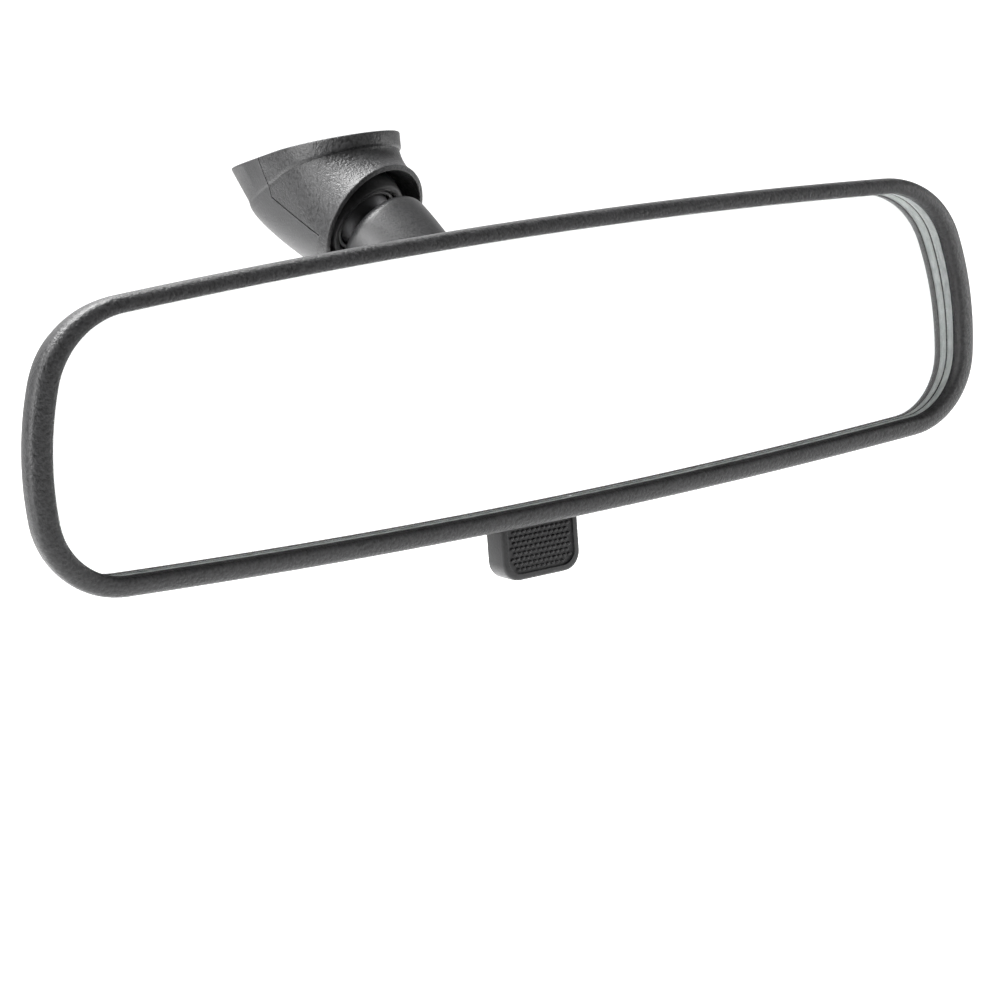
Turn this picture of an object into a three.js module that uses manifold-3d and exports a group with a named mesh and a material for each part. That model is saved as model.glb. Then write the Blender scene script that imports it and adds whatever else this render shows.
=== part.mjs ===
// Interior rearview mirror with a day/night toggle, a double-ball arm and a windscreen bracket.
// Millimetres. +X runs along the glass to the right as the driver sees it, -Y points out of the
// glass towards the driver, +Z is up. The origin is the centre of the bracket's button seat.
import * as THREE from 'three';
import { mergeVertices } from 'three/addons/utils/BufferGeometryUtils.js';
import { LoftGeometry } from 'three/addons/geometries/LoftGeometry.js';
import Module from 'manifold-3d';

const wasm = await Module();
wasm.setup();

// ---------------------------------------------------------------- driving dimensions

const GAP = 0.3; // clearance between neighbouring pieces

// The head frame has y = 0 on the bezel's inner front rim and x = 0 on its symmetry line.
// Places below are in the head frame unless a comment says otherwise.

// Bezel opening: crowned top and bottom, bowed sides, one corner radius above and one below.
const RIM = {
  halfWidth: 118,
  sideZ: -5.6,
  sideRadius: 68.5,
  top: 29.76,
  topRadius: 1754,
  bottom: 28.52,
  bottomRadius: 2074,
  topCorner: 17.8,
  bottomCorner: 14.7,
};
const BAND_FRONT = -0.95; // front of the bezel's lip
const BAND_WIDEST = 5.4; // how far the bezel reaches outside its opening at the sides
const BAND_SHARE = { top: 0.67, bottom: 0.83 }; // of that reach, along the top and bottom
const EVEN = { top: 1, bottom: 1 };
const BAND_BACK = 13.0; // where the bezel ends and the rear case starts
const CASE_BACK = 22.6; // rear case, its highest point
const CASE_WALL = 2.1;
const CASE_OFFSET = 0.2; // how far the rear case reaches outside the bezel's opening
const DOME_POWER = 3.2; // flatness of the rear case's dome

const GLASS_FRONT = 1.8;
const GLASS_OVERLAP = 1.2; // how far the glass reaches behind the lip
const GLASS_THIN = 3.0; // at the bottom edge
const GLASS_THICK = 5.2; // at the top edge
const SILVER = 0.4;
const PAD = { x: 76, width: 9, height: 36, thickness: 1.2 };

const LOWER_BALL = new THREE.Vector3(0, 17, 5);
const UPPER_BALL = new THREE.Vector3(-10, 56, 33.7);
const BALL_R = 7.5;
const NECK_R = 4.0;
const NECK = { lower: 13, upper: 8.1 }; // how far from its ball each stud's neck ends
const SHANK = { r: 3.0, length: 12, chamfer: 0.6 }; // part of each stud inside the sleeve
const SLEEVE = { start: 12.4, radius: 11.3, fromBall: 7.4 }; // its ends, from the lower and upper ball
const LINER = [BALL_R + GAP, BALL_R + GAP + 1.0]; // inner and outer radius
const CUP = [LINER[1] + GAP, LINER[1] + GAP + 1.8];
const OPENING = 66; // polar angle of the lower socket's mouth, degrees
const UPPER_OPENING = 63;
const CUP_TILT = 28; // the lower socket looks this far up from the case's normal
const LINER_FRONT = 10.4; // y where the lower liner is cut off, behind the glass
const CUP_FRONT = 10.3;

const RECESS = { radius: 14.3, z: 8.4 }; // round opening in the rear case

const PLATE = { bottom: -13.6, front: 10.3, thickness: 2.2 };
const FLANGE = { radius: 13.4, from: 12.8, to: 13.8 };
const RETAINER = { radius: 16, lip: 11.3, to: 15.0, ear: 19.4, earRadius: 3.4, earThickness: 1.6 };
const SCREW_HOLE = 1.5; // radius, for shanks of 1.2

const HINGE = { y: 10.9, z: 22.4, pinR: 1.2, lugR: 2.6, ear: [19.6, 23.6], lug: [24, 29] };
const LEVER_PIVOT = { y: 10.5, z: -22.5, pinR: 1.3, hubR: 3.2, boss: [9.8, 12.6] };
const LEVER_TIP = { y: 13.8, z: -16.8, r: 1.1 };
const FORK = { halfWidth: 6, slot: [12.1, 15.6], back: 17.2, frontEnd: -16.2, backEnd: -17.4, shelf: 2.2 };
const HUB = [-9.2, 4.0]; // hub's span along x; the toggle spring sits beside it
const STEM = { front: -2.4, back: 2.4, into: 0.5 }; // about the pivot, and how far into the tab it runs
const FINGER = 4; // half width of the finger that turns the plate's fork
const TAB = { centre: 0.4, halfWidth: 10.2, top: -31.5, bottom: -45.9, front: 6.0, back: 12.6, corner: 4.2 };
const NOTCH = { halfWidth: 14, z: -22.6 };

// Bracket frame: origin on the button seat, tilted so that its far (+v) end hangs lower.
const SEAT_ORIGIN = new THREE.Vector3(-10, 70, 42.1);
const SEAT_TILT = 12; // degrees
const BRACKET = { halfWidth: 15.6, nearCentre: -7, farLength: 26.4, railTop: 5, squareness: 6, lean: 2.4 };
const MOUTH = { radius: 14.6, fromBall: 6.6, tilt: 10 }; // it looks this far above the arm, degrees
const STEP = { inset: 0.6, rise: 0.7 }; // under the walls; it fades towards the far end
const FLOOR = 2.0;
const CHANNEL = { halfWidth: 12.3, lip: 10.9, lipUnder: 2.6, near: -14, roundCentre: -6 };
const RAIL_SLOT = { u: [12.6, 13.6], v: [-9, -2], floor: 3.2 };
const SKIN = 1.3; // thickness of the bracket's cover
const SEAM = { v: 0.4, w: -4.6, near: [-16, -16] }; // edge of the cover, in side view
const SEAT_SCREW = { u: 7, v: -5.5 }; // the upper socket's screws, in the bracket frame
const CLIP = { root: 4.8, halfWidth: 5, anchor: [3.2, 4.2] };
const CLIP_SLOT = { halfWidth: 6.2, from: 4.5, under: -4.6 };
const POCKET = 0.9; // depth of the anchor's seat in the channel's floor
const FAR_WALL = { from: 14, top: -1.5 }; // the low wall at the open end of the channel

// ---------------------------------------------------------------- solids

const rad = THREE.MathUtils.degToRad;
const V = (x, y, z) => new THREE.Vector3(x, y, z);

// A closed three.js geometry as a solid whose faces point out.
function solid(geometry) {
  const bare = geometry.index ? geometry.toNonIndexed() : geometry.clone();
  bare.deleteAttribute('normal');
  bare.deleteAttribute('uv');
  const merged = mergeVertices(bare, 1e-4);
  const points = merged.attributes.position;
  const corners = new Uint32Array(merged.index.array);
  let volume = 0;
  const [a, b, c] = [V(), V(), V()];
  for (let i = 0; i < corners.length; i += 3) {
    a.fromBufferAttribute(points, corners[i]);
    b.fromBufferAttribute(points, corners[i + 1]);
    c.fromBufferAttribute(points, corners[i + 2]);
    volume += a.dot(b.cross(c));
  }
  if (volume < 0) corners.reverse();
  const mesh = new wasm.Mesh({ numProp: 3, vertProperties: points.array, triVerts: corners });
  return new wasm.Manifold(mesh);
}

const joined = (...solids) => solids.reduce((sum, next) => sum.add(next));
const cut = (body, ...tools) => tools.reduce((rest, tool) => rest.subtract(tool), body);

function boxGeometry([x0, x1], [y0, y1], [z0, z1]) {
  const box = new THREE.BoxGeometry(x1 - x0, y1 - y0, z1 - z0);
  return box.translate((x0 + x1) / 2, (y0 + y1) / 2, (z0 + z1) / 2);
}

const block = (x, y, z) => solid(boxGeometry(x, y, z));

// Round bar between two points.
function barGeometry(from, to, radius, sides = 24) {
  const along = V().subVectors(to, from);
  const bar = new THREE.CylinderGeometry(radius, radius, along.length(), sides);
  bar.applyQuaternion(new THREE.Quaternion().setFromUnitVectors(V(0, 1, 0), along.clone().normalize()));
  return bar.translate(...V().addVectors(from, to).multiplyScalar(0.5));
}

const bar = (from, to, radius, sides) => solid(barGeometry(from, to, radius, sides));

// Body of revolution: a profile of [radius, height] points turned about an axis through a point.
function turned(profile, axis = V(0, 0, 1), centre = V(0, 0, 0), sides = 32) {
  const points = profile.map(([r, h]) => new THREE.Vector2(r, h));
  const lathe = new THREE.LatheGeometry(points, sides);
  lathe.applyQuaternion(new THREE.Quaternion().setFromUnitVectors(V(0, 1, 0), axis.clone().normalize()));
  return solid(lathe.translate(...centre));
}

// Points of an arc about the axis, from one polar angle to another, as [radius, height].
function polarArc(radius, from, to, steps) {
  return Array.from({ length: steps + 1 }, (_, i) => {
    const angle = rad(from + ((to - from) * i) / steps);
    return [Math.max(0, radius * Math.sin(angle)), radius * Math.cos(angle)];
  });
}

// Hollow part of a sphere that is open at both poles.
function shellProfile([inner, outer], open, end) {
  const profile = [...polarArc(outer, open, end, 6), ...polarArc(inner, end, open, 6)];
  return [...profile, profile[0]];
}

const middle = (loop) => loop.reduce((sum, p) => sum.add(p), V()).divideScalar(loop.length);

// Twice the area of a loop, as a vector along its normal.
function areaVector(loop) {
  const centre = middle(loop);
  const arms = loop.map((p) => V().subVectors(p, centre));
  return arms.reduce((sum, arm, i) => sum.add(V().crossVectors(arm, arms[(i + 1) % arms.length])), V());
}

// Solid skinned over closed sections of equal point count, with flat ends.
function loft(sections) {
  const turn = sections.slice(1).reduce((sum, next, i) => {
    const ahead = V().subVectors(middle(next), middle(sections[i]));
    return sum + areaVector(sections[i]).dot(ahead);
  }, 0);
  const ordered = turn < 0 ? sections.map((loop) => [...loop].reverse()) : sections;
  return solid(new LoftGeometry(ordered, { capStart: true, capEnd: true }));
}

// ---------------------------------------------------------------- mesh and groups

const plastic = (color, roughness) => new THREE.MeshStandardMaterial({ color, roughness, metalness: 0 });
const metal = (color, roughness) => new THREE.MeshStandardMaterial({ color, roughness, metalness: 1 });
const finish = {
  grained: () => plastic(0x2b2b2c, 0.62),
  satin: () => plastic(0x303032, 0.45),
  inner: () => plastic(0x18181a, 0.6),
  nylon: () => plastic(0xb9b9b4, 0.5),
  glass: () => new THREE.MeshStandardMaterial({ color: 0xdfe8ea, roughness: 0.02, metalness: 0.1 }),
  silver: () => metal(0xe8eaec, 0.05),
  foam: () => plastic(0x3a3a3c, 0.95),
  steel: () => metal(0xb4b6b8, 0.3),
  springSteel: () => metal(0x8e9092, 0.35),
};

const mirror = new THREE.Group();
const head = new THREE.Group(); // head frame
head.position.copy(SEAT_ORIGIN).negate();
const behindGlass = new THREE.Group(); // parallel to the back of the wedge glass
const arm = new THREE.Group(); // +Z from the lower ball to the upper ball
const bracket = new THREE.Group(); // bracket frame
bracket.rotation.x = rad(-SEAT_TILT);
mirror.add(head, bracket);
head.add(behindGlass, arm);

function piece(group, name, body, material) {
  const { vertProperties, triVerts, numProp } = body.getMesh();
  const geometry = new THREE.BufferGeometry();
  const stored = new THREE.InterleavedBuffer(vertProperties, numProp);
  geometry.setAttribute('position', new THREE.InterleavedBufferAttribute(stored, 3, 0));
  geometry.setIndex(new THREE.BufferAttribute(triVerts, 1));
  const flat = geometry.toNonIndexed();
  flat.computeVertexNormals();
  const mesh = new THREE.Mesh(flat, material);
  mesh.name = name;
  group.add(mesh);
}

// ---------------------------------------------------------------- outline of the head

// Centre of the corner arc of radius r that touches two larger arcs from inside, at +x.
function cornerCentre(c1, r1, c2, r2, r, up) {
  const [a, b] = [r1 - r, r2 - r];
  const [dx, dz] = [c2[0] - c1[0], c2[1] - c1[1]];
  const d = Math.hypot(dx, dz);
  const along = (a * a - b * b + d * d) / (2 * d);
  const off = Math.sqrt(a * a - along * along);
  const foot = [c1[0] + (dx * along) / d, c1[1] + (dz * along) / d];
  const found = [1, -1].map((s) => [foot[0] - (s * dz * off) / d, foot[1] + (s * dx * off) / d]);
  return found.sort((p, q) => q[0] + up * q[1] - p[0] - up * p[1])[0];
}

// The outline as samples { x, z, r, angle } on its arcs, so that an offset only adds to r.
function rimSamples() {
  const top = [0, RIM.top - RIM.topRadius];
  const bottom = [0, RIM.bottomRadius - RIM.bottom];
  const side = [RIM.halfWidth - RIM.sideRadius, RIM.sideZ];
  const low = cornerCentre(bottom, RIM.bottomRadius, side, RIM.sideRadius, RIM.bottomCorner, -1);
  const high = cornerCentre(top, RIM.topRadius, side, RIM.sideRadius, RIM.topCorner, 1);
  const angle = (from, to) => Math.atan2(to[1] - from[1], to[0] - from[0]);
  const arcs = [
    [bottom, RIM.bottomRadius, -Math.PI / 2, angle(bottom, low), 5],
    [low, RIM.bottomCorner, angle(bottom, low), angle(side, low), 5],
    [side, RIM.sideRadius, angle(side, low), angle(side, high), 4],
    [high, RIM.topCorner, angle(side, high), angle(top, high), 5],
    [top, RIM.topRadius, angle(top, high), Math.PI / 2, 5],
  ];
  const right = [];
  for (const [[x, z], r, from, to, steps] of arcs) {
    for (let i = 0; i < steps; i++) right.push({ x, z, r, angle: from + ((to - from) * i) / steps });
  }
  const crown = { x: top[0], z: top[1], r: RIM.topRadius, angle: Math.PI / 2 };
  const left = right
    .slice(1)
    .reverse()
    .map((p) => ({ ...p, x: -p.x, angle: Math.PI - p.angle }));
  return [...right, crown, ...left];
}

const SAMPLES = rimSamples();

// One closed loop of the outline, grown outwards by offset, then scaled about the middle.
// Along the top and bottom it may reach only a share of the offset.
function rimLoop(offset, y, scale = 1, share = EVEN) {
  return SAMPLES.map(({ x, z, r, angle }) => {
    const up = Math.sin(angle);
    const edge = up > 0 ? share.top : share.bottom;
    const reach = r + offset * (1 - (1 - edge) * up * up);
    return V(scale * (x + reach * Math.cos(angle)), y, scale * (z + reach * Math.sin(angle)));
  });
}

// A ring whose cross-section is a list of [offset, y].
function rimRing(profile, share) {
  const loops = profile.map(([offset, y]) => rimLoop(offset, y, 1, share));
  return solid(new LoftGeometry([...loops, loops[0]]));
}

// ---------------------------------------------------------------- head: bezel, glass and case

function bezelFrame() {
  const section = [
    [0, 0],
    [0.35, -0.6],
    [1.1, BAND_FRONT],
    [2.6, BAND_FRONT],
    [4.2, -0.55],
    [BAND_WIDEST - 0.2, 0.3],
    [BAND_WIDEST, 1.3],
    [BAND_WIDEST - 0.5, 4.2],
    [0.5, BAND_BACK],
    [-1.3, BAND_BACK],
    [2.3, 7.4],
    [2.3, GLASS_FRONT - GAP],
    [0, GLASS_FRONT - GAP],
  ];
  const band = rimRing(section, BAND_SHARE);
  const gapX = [TAB.centre - TAB.halfWidth - 1, TAB.centre + TAB.halfWidth + 1];
  const leverGap = block(gapX, [5.3, 20], [-40, -20]);
  const openRear = block([-NOTCH.halfWidth, NOTCH.halfWidth], [12.0, 20], [-40, -20]);
  return cut(band, leverGap, openRear);
}

const WEDGE = Math.atan((GLASS_THICK - GLASS_THIN) / (RIM.top + RIM.bottom));
const glassBack = (z) => GLASS_FRONT + GLASS_THIN + (z + RIM.bottom) * Math.tan(WEDGE);

function prismGlass() {
  const slab = loft([rimLoop(GLASS_OVERLAP, GLASS_FRONT), rimLoop(GLASS_OVERLAP, 12)]);
  const behind = boxGeometry([-150, 150], [0, 30], [-60, 60]).rotateX(WEDGE * -1);
  return cut(slab, solid(behind.translate(0, glassBack(0), 0)));
}

// In the group behind the glass, whose y = 0 is the back of the glass.
const silverBacking = () => loft([rimLoop(0.6, GAP), rimLoop(0.6, GAP + SILVER)]);

function glassPad(side) {
  const front = 2 * GAP + SILVER;
  const [x, half] = [side * PAD.x, PAD.width / 2];
  return block([x - half, x + half], [front, front + PAD.thickness], [-PAD.height / 2, PAD.height / 2]);
}

const domeY = (scale) => CASE_BACK - (CASE_BACK - BAND_BACK - 2 * GAP) * scale ** DOME_POWER;

// The space inside the rear case's outer surface, back to a plane in front of it.
function caseOuter() {
  const steps = [1, 0.93, 0.83, 0.7, 0.5, 0.25];
  const dome = steps.map((s) => rimLoop(CASE_OFFSET, domeY(s), s));
  return loft([rimLoop(CASE_OFFSET, 6), ...dome, rimLoop(CASE_OFFSET, CASE_BACK, 0.02)]);
}

function caseInner() {
  const steps = [1, 0.88, 0.7, 0.45];
  const dome = steps.map((s) => rimLoop(-3, domeY(s) - CASE_WALL, s));
  return loft([rimLoop(-3, 5), ...dome, rimLoop(-3, CASE_BACK - CASE_WALL, 0.05)]);
}

// Wall that carries a hinge pin or the lever's pin, grown from the case's inner face.
function pinWalls(x, y, z, pin) {
  return [-1, 1].map((side) => {
    const span = x.map((value) => side * value).sort((a, b) => a - b);
    const hole = bar(V(span[0] - 1, pin.y, pin.z), V(span[1] + 1, pin.y, pin.z), pin.pinR + GAP);
    return cut(block(span, y, z), hole);
  });
}

function rearCase() {
  const outer = caseOuter();
  const edge = rimRing([
    [6, 5],
    [6, BAND_BACK + GAP],
    [-1.7, BAND_BACK + GAP],
    [-1.7, 5],
  ]);
  const front = block([-150, 150], [0, BAND_BACK - 1.7], [-60, 60]);
  const shell = cut(outer, caseInner(), edge, front);
  const hingeWalls = pinWalls(HINGE.lug, [8.2, 20], [HINGE.z - 3, HINGE.z + 3], HINGE);
  const leverWalls = pinWalls(LEVER_PIVOT.boss, [7.9, 20], [-25.4, -16.5], LEVER_PIVOT);
  const padFace = boxGeometry([-150, 150], [-20, 3 * GAP + SILVER + PAD.thickness], [-60, 60]);
  const inFront = solid(padFace.rotateX(-WEDGE).translate(0, glassBack(0), 0));
  const ribs = [-1, 1].map((side) => {
    const x = [side * PAD.x - 1.2, side * PAD.x + 1.2];
    return cut(block(x, [5, 22], [-18, 18]), inFront);
  });
  const inside = [...hingeWalls, ...leverWalls, ...ribs].map((wall) => wall.intersect(outer));
  const recess = bar(V(0, 8, RECESS.z), V(0, 40, RECESS.z), RECESS.radius, 40);
  const notch = block([-NOTCH.halfWidth, NOTCH.halfWidth], [9, 40], [-50, NOTCH.z]);
  return cut(joined(cut(shell, notch), ...inside), recess);
}

// ---------------------------------------------------------------- toggle plate and lower socket

const Y = V(0, 1, 0);
const BALL_AXIS = V(LOWER_BALL.x, 0, LOWER_BALL.z); // where the plate's bore crosses y = 0
const plateBack = PLATE.front + PLATE.thickness;

const ring = (profile) => turned([...profile, profile[0]], Y, BALL_AXIS, 28);

function retainerHole(side) {
  const x = side * RETAINER.ear;
  return bar(V(x, 0, LOWER_BALL.z), V(x, 30, LOWER_BALL.z), SCREW_HOLE);
}

function togglePlate() {
  const ears = [-1, 1].map((side) => {
    const [x0, x1] = HINGE.ear.map((value) => side * value);
    return bar(V(x0, HINGE.y, HINGE.z), V(x1, HINGE.y, HINGE.z), HINGE.lugR);
  });
  const sheet = block([-HINGE.ear[1], HINGE.ear[1]], [PLATE.front, plateBack], [PLATE.bottom, HINGE.z]);
  const betweenEars = block([-HINGE.ear[0], HINGE.ear[0]], [0, 20], [HINGE.z - 1.5, 40]);
  const forkX = [-FORK.halfWidth, FORK.halfWidth];
  const shelf = block(forkX, [plateBack - 0.5, FORK.back], [PLATE.bottom, PLATE.bottom + FORK.shelf]);
  const frontProng = block(forkX, [PLATE.front, FORK.slot[0]], [FORK.frontEnd, PLATE.bottom + 0.5]);
  const rearProng = block(forkX, [FORK.slot[1], FORK.back], [FORK.backEnd, PLATE.bottom + 0.5]);
  const bore = bar(V(0, 0, LOWER_BALL.z), V(0, 20, LOWER_BALL.z), CUP[1] - 0.6, 40);
  const pinHole = bar(V(-30, HINGE.y, HINGE.z), V(30, HINGE.y, HINGE.z), HINGE.pinR + GAP);
  const screwHoles = [-1, 1].map(retainerHole);
  const body = joined(sheet, ...ears, shelf, frontProng, rearProng);
  return cut(body, betweenEars, bore, pinHole, ...screwHoles);
}

function socketRetainer() {
  const from = plateBack + GAP;
  const lipFrom = FLANGE.to + GAP;
  const seat = FLANGE.radius + 2 * GAP;
  const { radius, lip, to, ear, earRadius, earThickness } = RETAINER;
  const collar = ring([
    [seat, from],
    [radius, from],
    [radius, to],
    [lip, to],
    [lip, lipFrom],
    [seat, lipFrom],
  ]);
  const ears = [-1, 1].map((side) => {
    const y = [from, from + earThickness];
    const round = bar(V(side * ear, y[0], LOWER_BALL.z), V(side * ear, y[1], LOWER_BALL.z), earRadius);
    const x = [side * ear, side * (radius - 1)].sort((a, b) => a - b);
    const web = block(x, y, [LOWER_BALL.z - earRadius, LOWER_BALL.z + earRadius]);
    return cut(joined(round, web), retainerHole(side));
  });
  return joined(collar, ...ears);
}

const CROSS_SLOT = [
  [0.35, 1.5],
  [1.5, 0.35],
];

// Pan-head screw with a cross slot, its shank pointing along -Y from the seat at y.
function retainerScrew(side) {
  const seat = plateBack + GAP + RETAINER.earThickness + GAP;
  const profile = [[0, 1.5], [1.6, 1.3], [2.5, 0.5], [2.6, 0], [1.2, 0], [1.2, -4.6], [0.9, -5], [0, -5]];
  const slots = CROSS_SLOT.map(([w, h]) => block([-w, w], [0.8, 3], [-h, h]));
  const screw = cut(turned(profile, Y, V(), 14), ...slots);
  return screw.translate([side * RETAINER.ear, seat, LOWER_BALL.z]);
}

const cupAxis = V(0, Math.cos(rad(CUP_TILT)), Math.sin(rad(CUP_TILT)));

function socketCup() {
  const shell = turned(shellProfile(CUP, OPENING, 150), cupAxis, LOWER_BALL, 24);
  const { radius, from, to } = FLANGE;
  const flange = ring([[CUP[0] + 0.9, from], [radius, from], [radius, to], [CUP[0] + 0.9, to]]);
  const inFront = block([-30, 30], [0, CUP_FRONT], [-30, 40]);
  return cut(joined(shell, flange), inFront);
}

// Split spring ring that sits round the mouth of the lower socket and squeezes it on the ball.
function socketClampRing() {
  const inner = CUP[1] + GAP;
  const profile = [
    ...polarArc(inner, OPENING, OPENING + 4, 1),
    ...polarArc(inner + 1.1, OPENING + 4, OPENING, 1),
  ];
  const band = turned([...profile, profile[0]], cupAxis, LOWER_BALL, 24);
  const split = block([-1, 1], [LOWER_BALL.y - 2, LOWER_BALL.y + 12], [-20, LOWER_BALL.z]);
  return cut(band, split);
}

function lowerBallLiner() {
  const shell = turned(shellProfile(LINER, OPENING, 150), cupAxis, LOWER_BALL, 24);
  return cut(shell, block([-30, 30], [0, LINER_FRONT], [-30, 40]));
}

// ---------------------------------------------------------------- toggle lever

function toggleLever() {
  const { y, z, hubR, pinR } = LEVER_PIVOT;
  const { centre, halfWidth, top, bottom, front, back, corner } = TAB;
  const outline = new THREE.Shape();
  outline.moveTo(-halfWidth, top);
  outline.lineTo(-halfWidth, bottom + corner);
  outline.absarc(-halfWidth + corner, bottom + corner, corner, Math.PI, 1.5 * Math.PI);
  outline.absarc(halfWidth - corner, bottom + corner, corner, 1.5 * Math.PI, 2 * Math.PI);
  outline.lineTo(halfWidth, top);
  const options = { depth: back - front, bevelEnabled: false, curveSegments: 6 };
  const extruded = new THREE.ExtrudeGeometry(outline, options).rotateX(Math.PI / 2);
  const tab = solid(extruded.translate(centre, back, 0));
  const hub = bar(V(HUB[0], y, z), V(HUB[1], y, z), hubR);
  const stemY = [y + STEM.front, y + STEM.back];
  const stem = block([HUB[0] + 0.2, HUB[1]], stemY, [top - STEM.into, z]);
  const wingX = [HUB[1] - 1, LEVER_PIVOT.boss[0] - 2 * GAP];
  const wing = block(wingX, [stemY[0], stemY[1] - GAP], [top - STEM.into, z - hubR - 0.7]);
  const tip = V(0, LEVER_TIP.y, LEVER_TIP.z);
  const finger = bar(tip.clone().setX(-FINGER), tip.clone().setX(FINGER), LEVER_TIP.r, 16);
  const reach = tip.clone().sub(V(0, y, z));
  const web = boxGeometry([-FINGER, FINGER], [0, reach.length()], [-LEVER_TIP.r, LEVER_TIP.r]);
  web.rotateX(Math.atan2(reach.z, reach.y)).translate(0, y, z);
  const pinHole = bar(V(-20, y, z), V(20, y, z), pinR + GAP);
  return cut(joined(tab, hub, stem, wing, finger, solid(web)), pinHole);
}

// Torsion spring wound round the lever's pin beside the hub.
function toggleSpring() {
  const [turns, wire, radius, from, to] = [3, 0.42, 2.5, HUB[1] + 0.9, LEVER_PIVOT.boss[0] - 0.9];
  class Helix extends THREE.Curve {
    getPoint(t) {
      const angle = 2 * Math.PI * turns * t;
      const y = LEVER_PIVOT.y + radius * Math.cos(angle);
      return V(from + (to - from) * t, y, LEVER_PIVOT.z + radius * Math.sin(angle));
    }
  }
  const section = new THREE.Shape().absarc(0, 0, wire, 0, 2 * Math.PI);
  const options = { steps: turns * 12, extrudePath: new Helix(), curveSegments: 5 };
  return solid(new THREE.ExtrudeGeometry(section, options));
}

// ---------------------------------------------------------------- arm

const ARM_LENGTH = LOWER_BALL.distanceTo(UPPER_BALL);

function ballStud(lower) {
  const neckAt = THREE.MathUtils.radToDeg(Math.asin(NECK_R / BALL_R));
  const ball = polarArc(BALL_R, 180, neckAt, 10);
  const length = lower ? NECK.lower : NECK.upper;
  const tip = length + SHANK.length;
  const profile = [
    ...ball,
    [NECK_R, length],
    [SHANK.r, length],
    [SHANK.r, tip - SHANK.chamfer],
    [SHANK.r - SHANK.chamfer, tip],
    [0, tip],
  ];
  const axis = V(0, 0, lower ? 1 : -1);
  return turned(profile, axis, V(0, 0, lower ? 0 : ARM_LENGTH), 20);
}

function armSleeve() {
  const fromUpperBall = (distance) => ARM_LENGTH - distance;
  const innerR = SHANK.r + GAP;
  const outerR = NECK_R + GAP;
  const neckEnd = fromUpperBall(NECK.upper + GAP);
  const top = fromUpperBall(SLEEVE.fromBall);
  const profile = [
    [innerR, NECK.lower + GAP],
    [outerR, NECK.lower + GAP],
    [outerR, SLEEVE.start],
    [6.0, SLEEVE.start],
    [6.8, 13.2],
    [8.2, 16.5],
    [9.2, 22],
    [10.4, 30],
    [SLEEVE.radius, fromUpperBall(11.4)],
    [SLEEVE.radius - 0.15, fromUpperBall(9.9)],
    [SLEEVE.radius - 0.75, fromUpperBall(8.9)],
    [9.4, fromUpperBall(8.1)],
    [8.0, fromUpperBall(7.6)],
    [6.4, top],
    [outerR, top],
    [outerR, neckEnd],
    [innerR, neckEnd],
  ];
  return turned([...profile, profile[0]], V(0, 0, 1), V(0, 0, 0), 24);
}

arm.position.copy(LOWER_BALL);
const armDirection = V().subVectors(UPPER_BALL, LOWER_BALL).normalize();
arm.quaternion.setFromUnitVectors(V(0, 0, 1), armDirection);

// ---------------------------------------------------------------- bracket

const intoBracket = new THREE.Quaternion().setFromEuler(new THREE.Euler(rad(SEAT_TILT), 0, 0));
const ballInBracket = V().subVectors(UPPER_BALL, SEAT_ORIGIN).applyQuaternion(intoBracket);
const socketAxis = armDirection.clone().negate().applyQuaternion(intoBracket);
const mouthNormal = socketAxis.clone().applyAxisAngle(V(1, 0, 0), rad(-MOUTH.tilt));
const acrossMouth = V(1, 0, 0).addScaledVector(mouthNormal, -mouthNormal.x).normalize();
const upMouth = V().crossVectors(mouthNormal, acrossMouth);

const ROUND = 28; // points round the bracket's sections

// A section from a function of the angle: 0 is +x, a quarter turn is the near end.
const section = (place) => Array.from({ length: ROUND }, (_, i) => place((2 * Math.PI * i) / ROUND));

// Plan of the bracket: half round at the near end, square at the far end.
function plan(angle, inset) {
  const { halfWidth, nearCentre, farLength, squareness } = BRACKET;
  const [c, s] = [Math.cos(angle), Math.sin(angle)];
  if (s > -1e-9) return [(halfWidth - inset) * c, nearCentre - (halfWidth - inset) * s];
  const power = (value) => Math.sign(value) * Math.abs(value) ** (2 / squareness);
  return [(halfWidth - inset) * power(c), nearCentre - (farLength - inset) * power(s)];
}

// 0 at the near end of the bracket, 1 at its far end.
const farness = (v) => Math.max(0, (v + 22.6) / 42) ** 1.2;

// Height of the line where the walls of the plan turn into the swept body.
const shoulder = (v) => 1.6 - 6.8 * farness(v);

// How far the foot of the walls stands in from their top.
const leanIn = (v) => BRACKET.lean * farness(v);

function mouthLoop(radius, outwards) {
  const centre = ballInBracket.clone().addScaledVector(mouthNormal, MOUTH.fromBall + outwards);
  return section((angle) =>
    centre
      .clone()
      .addScaledVector(acrossMouth, radius * Math.cos(angle))
      .addScaledVector(upMouth, radius * Math.sin(angle))
  );
}

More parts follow.
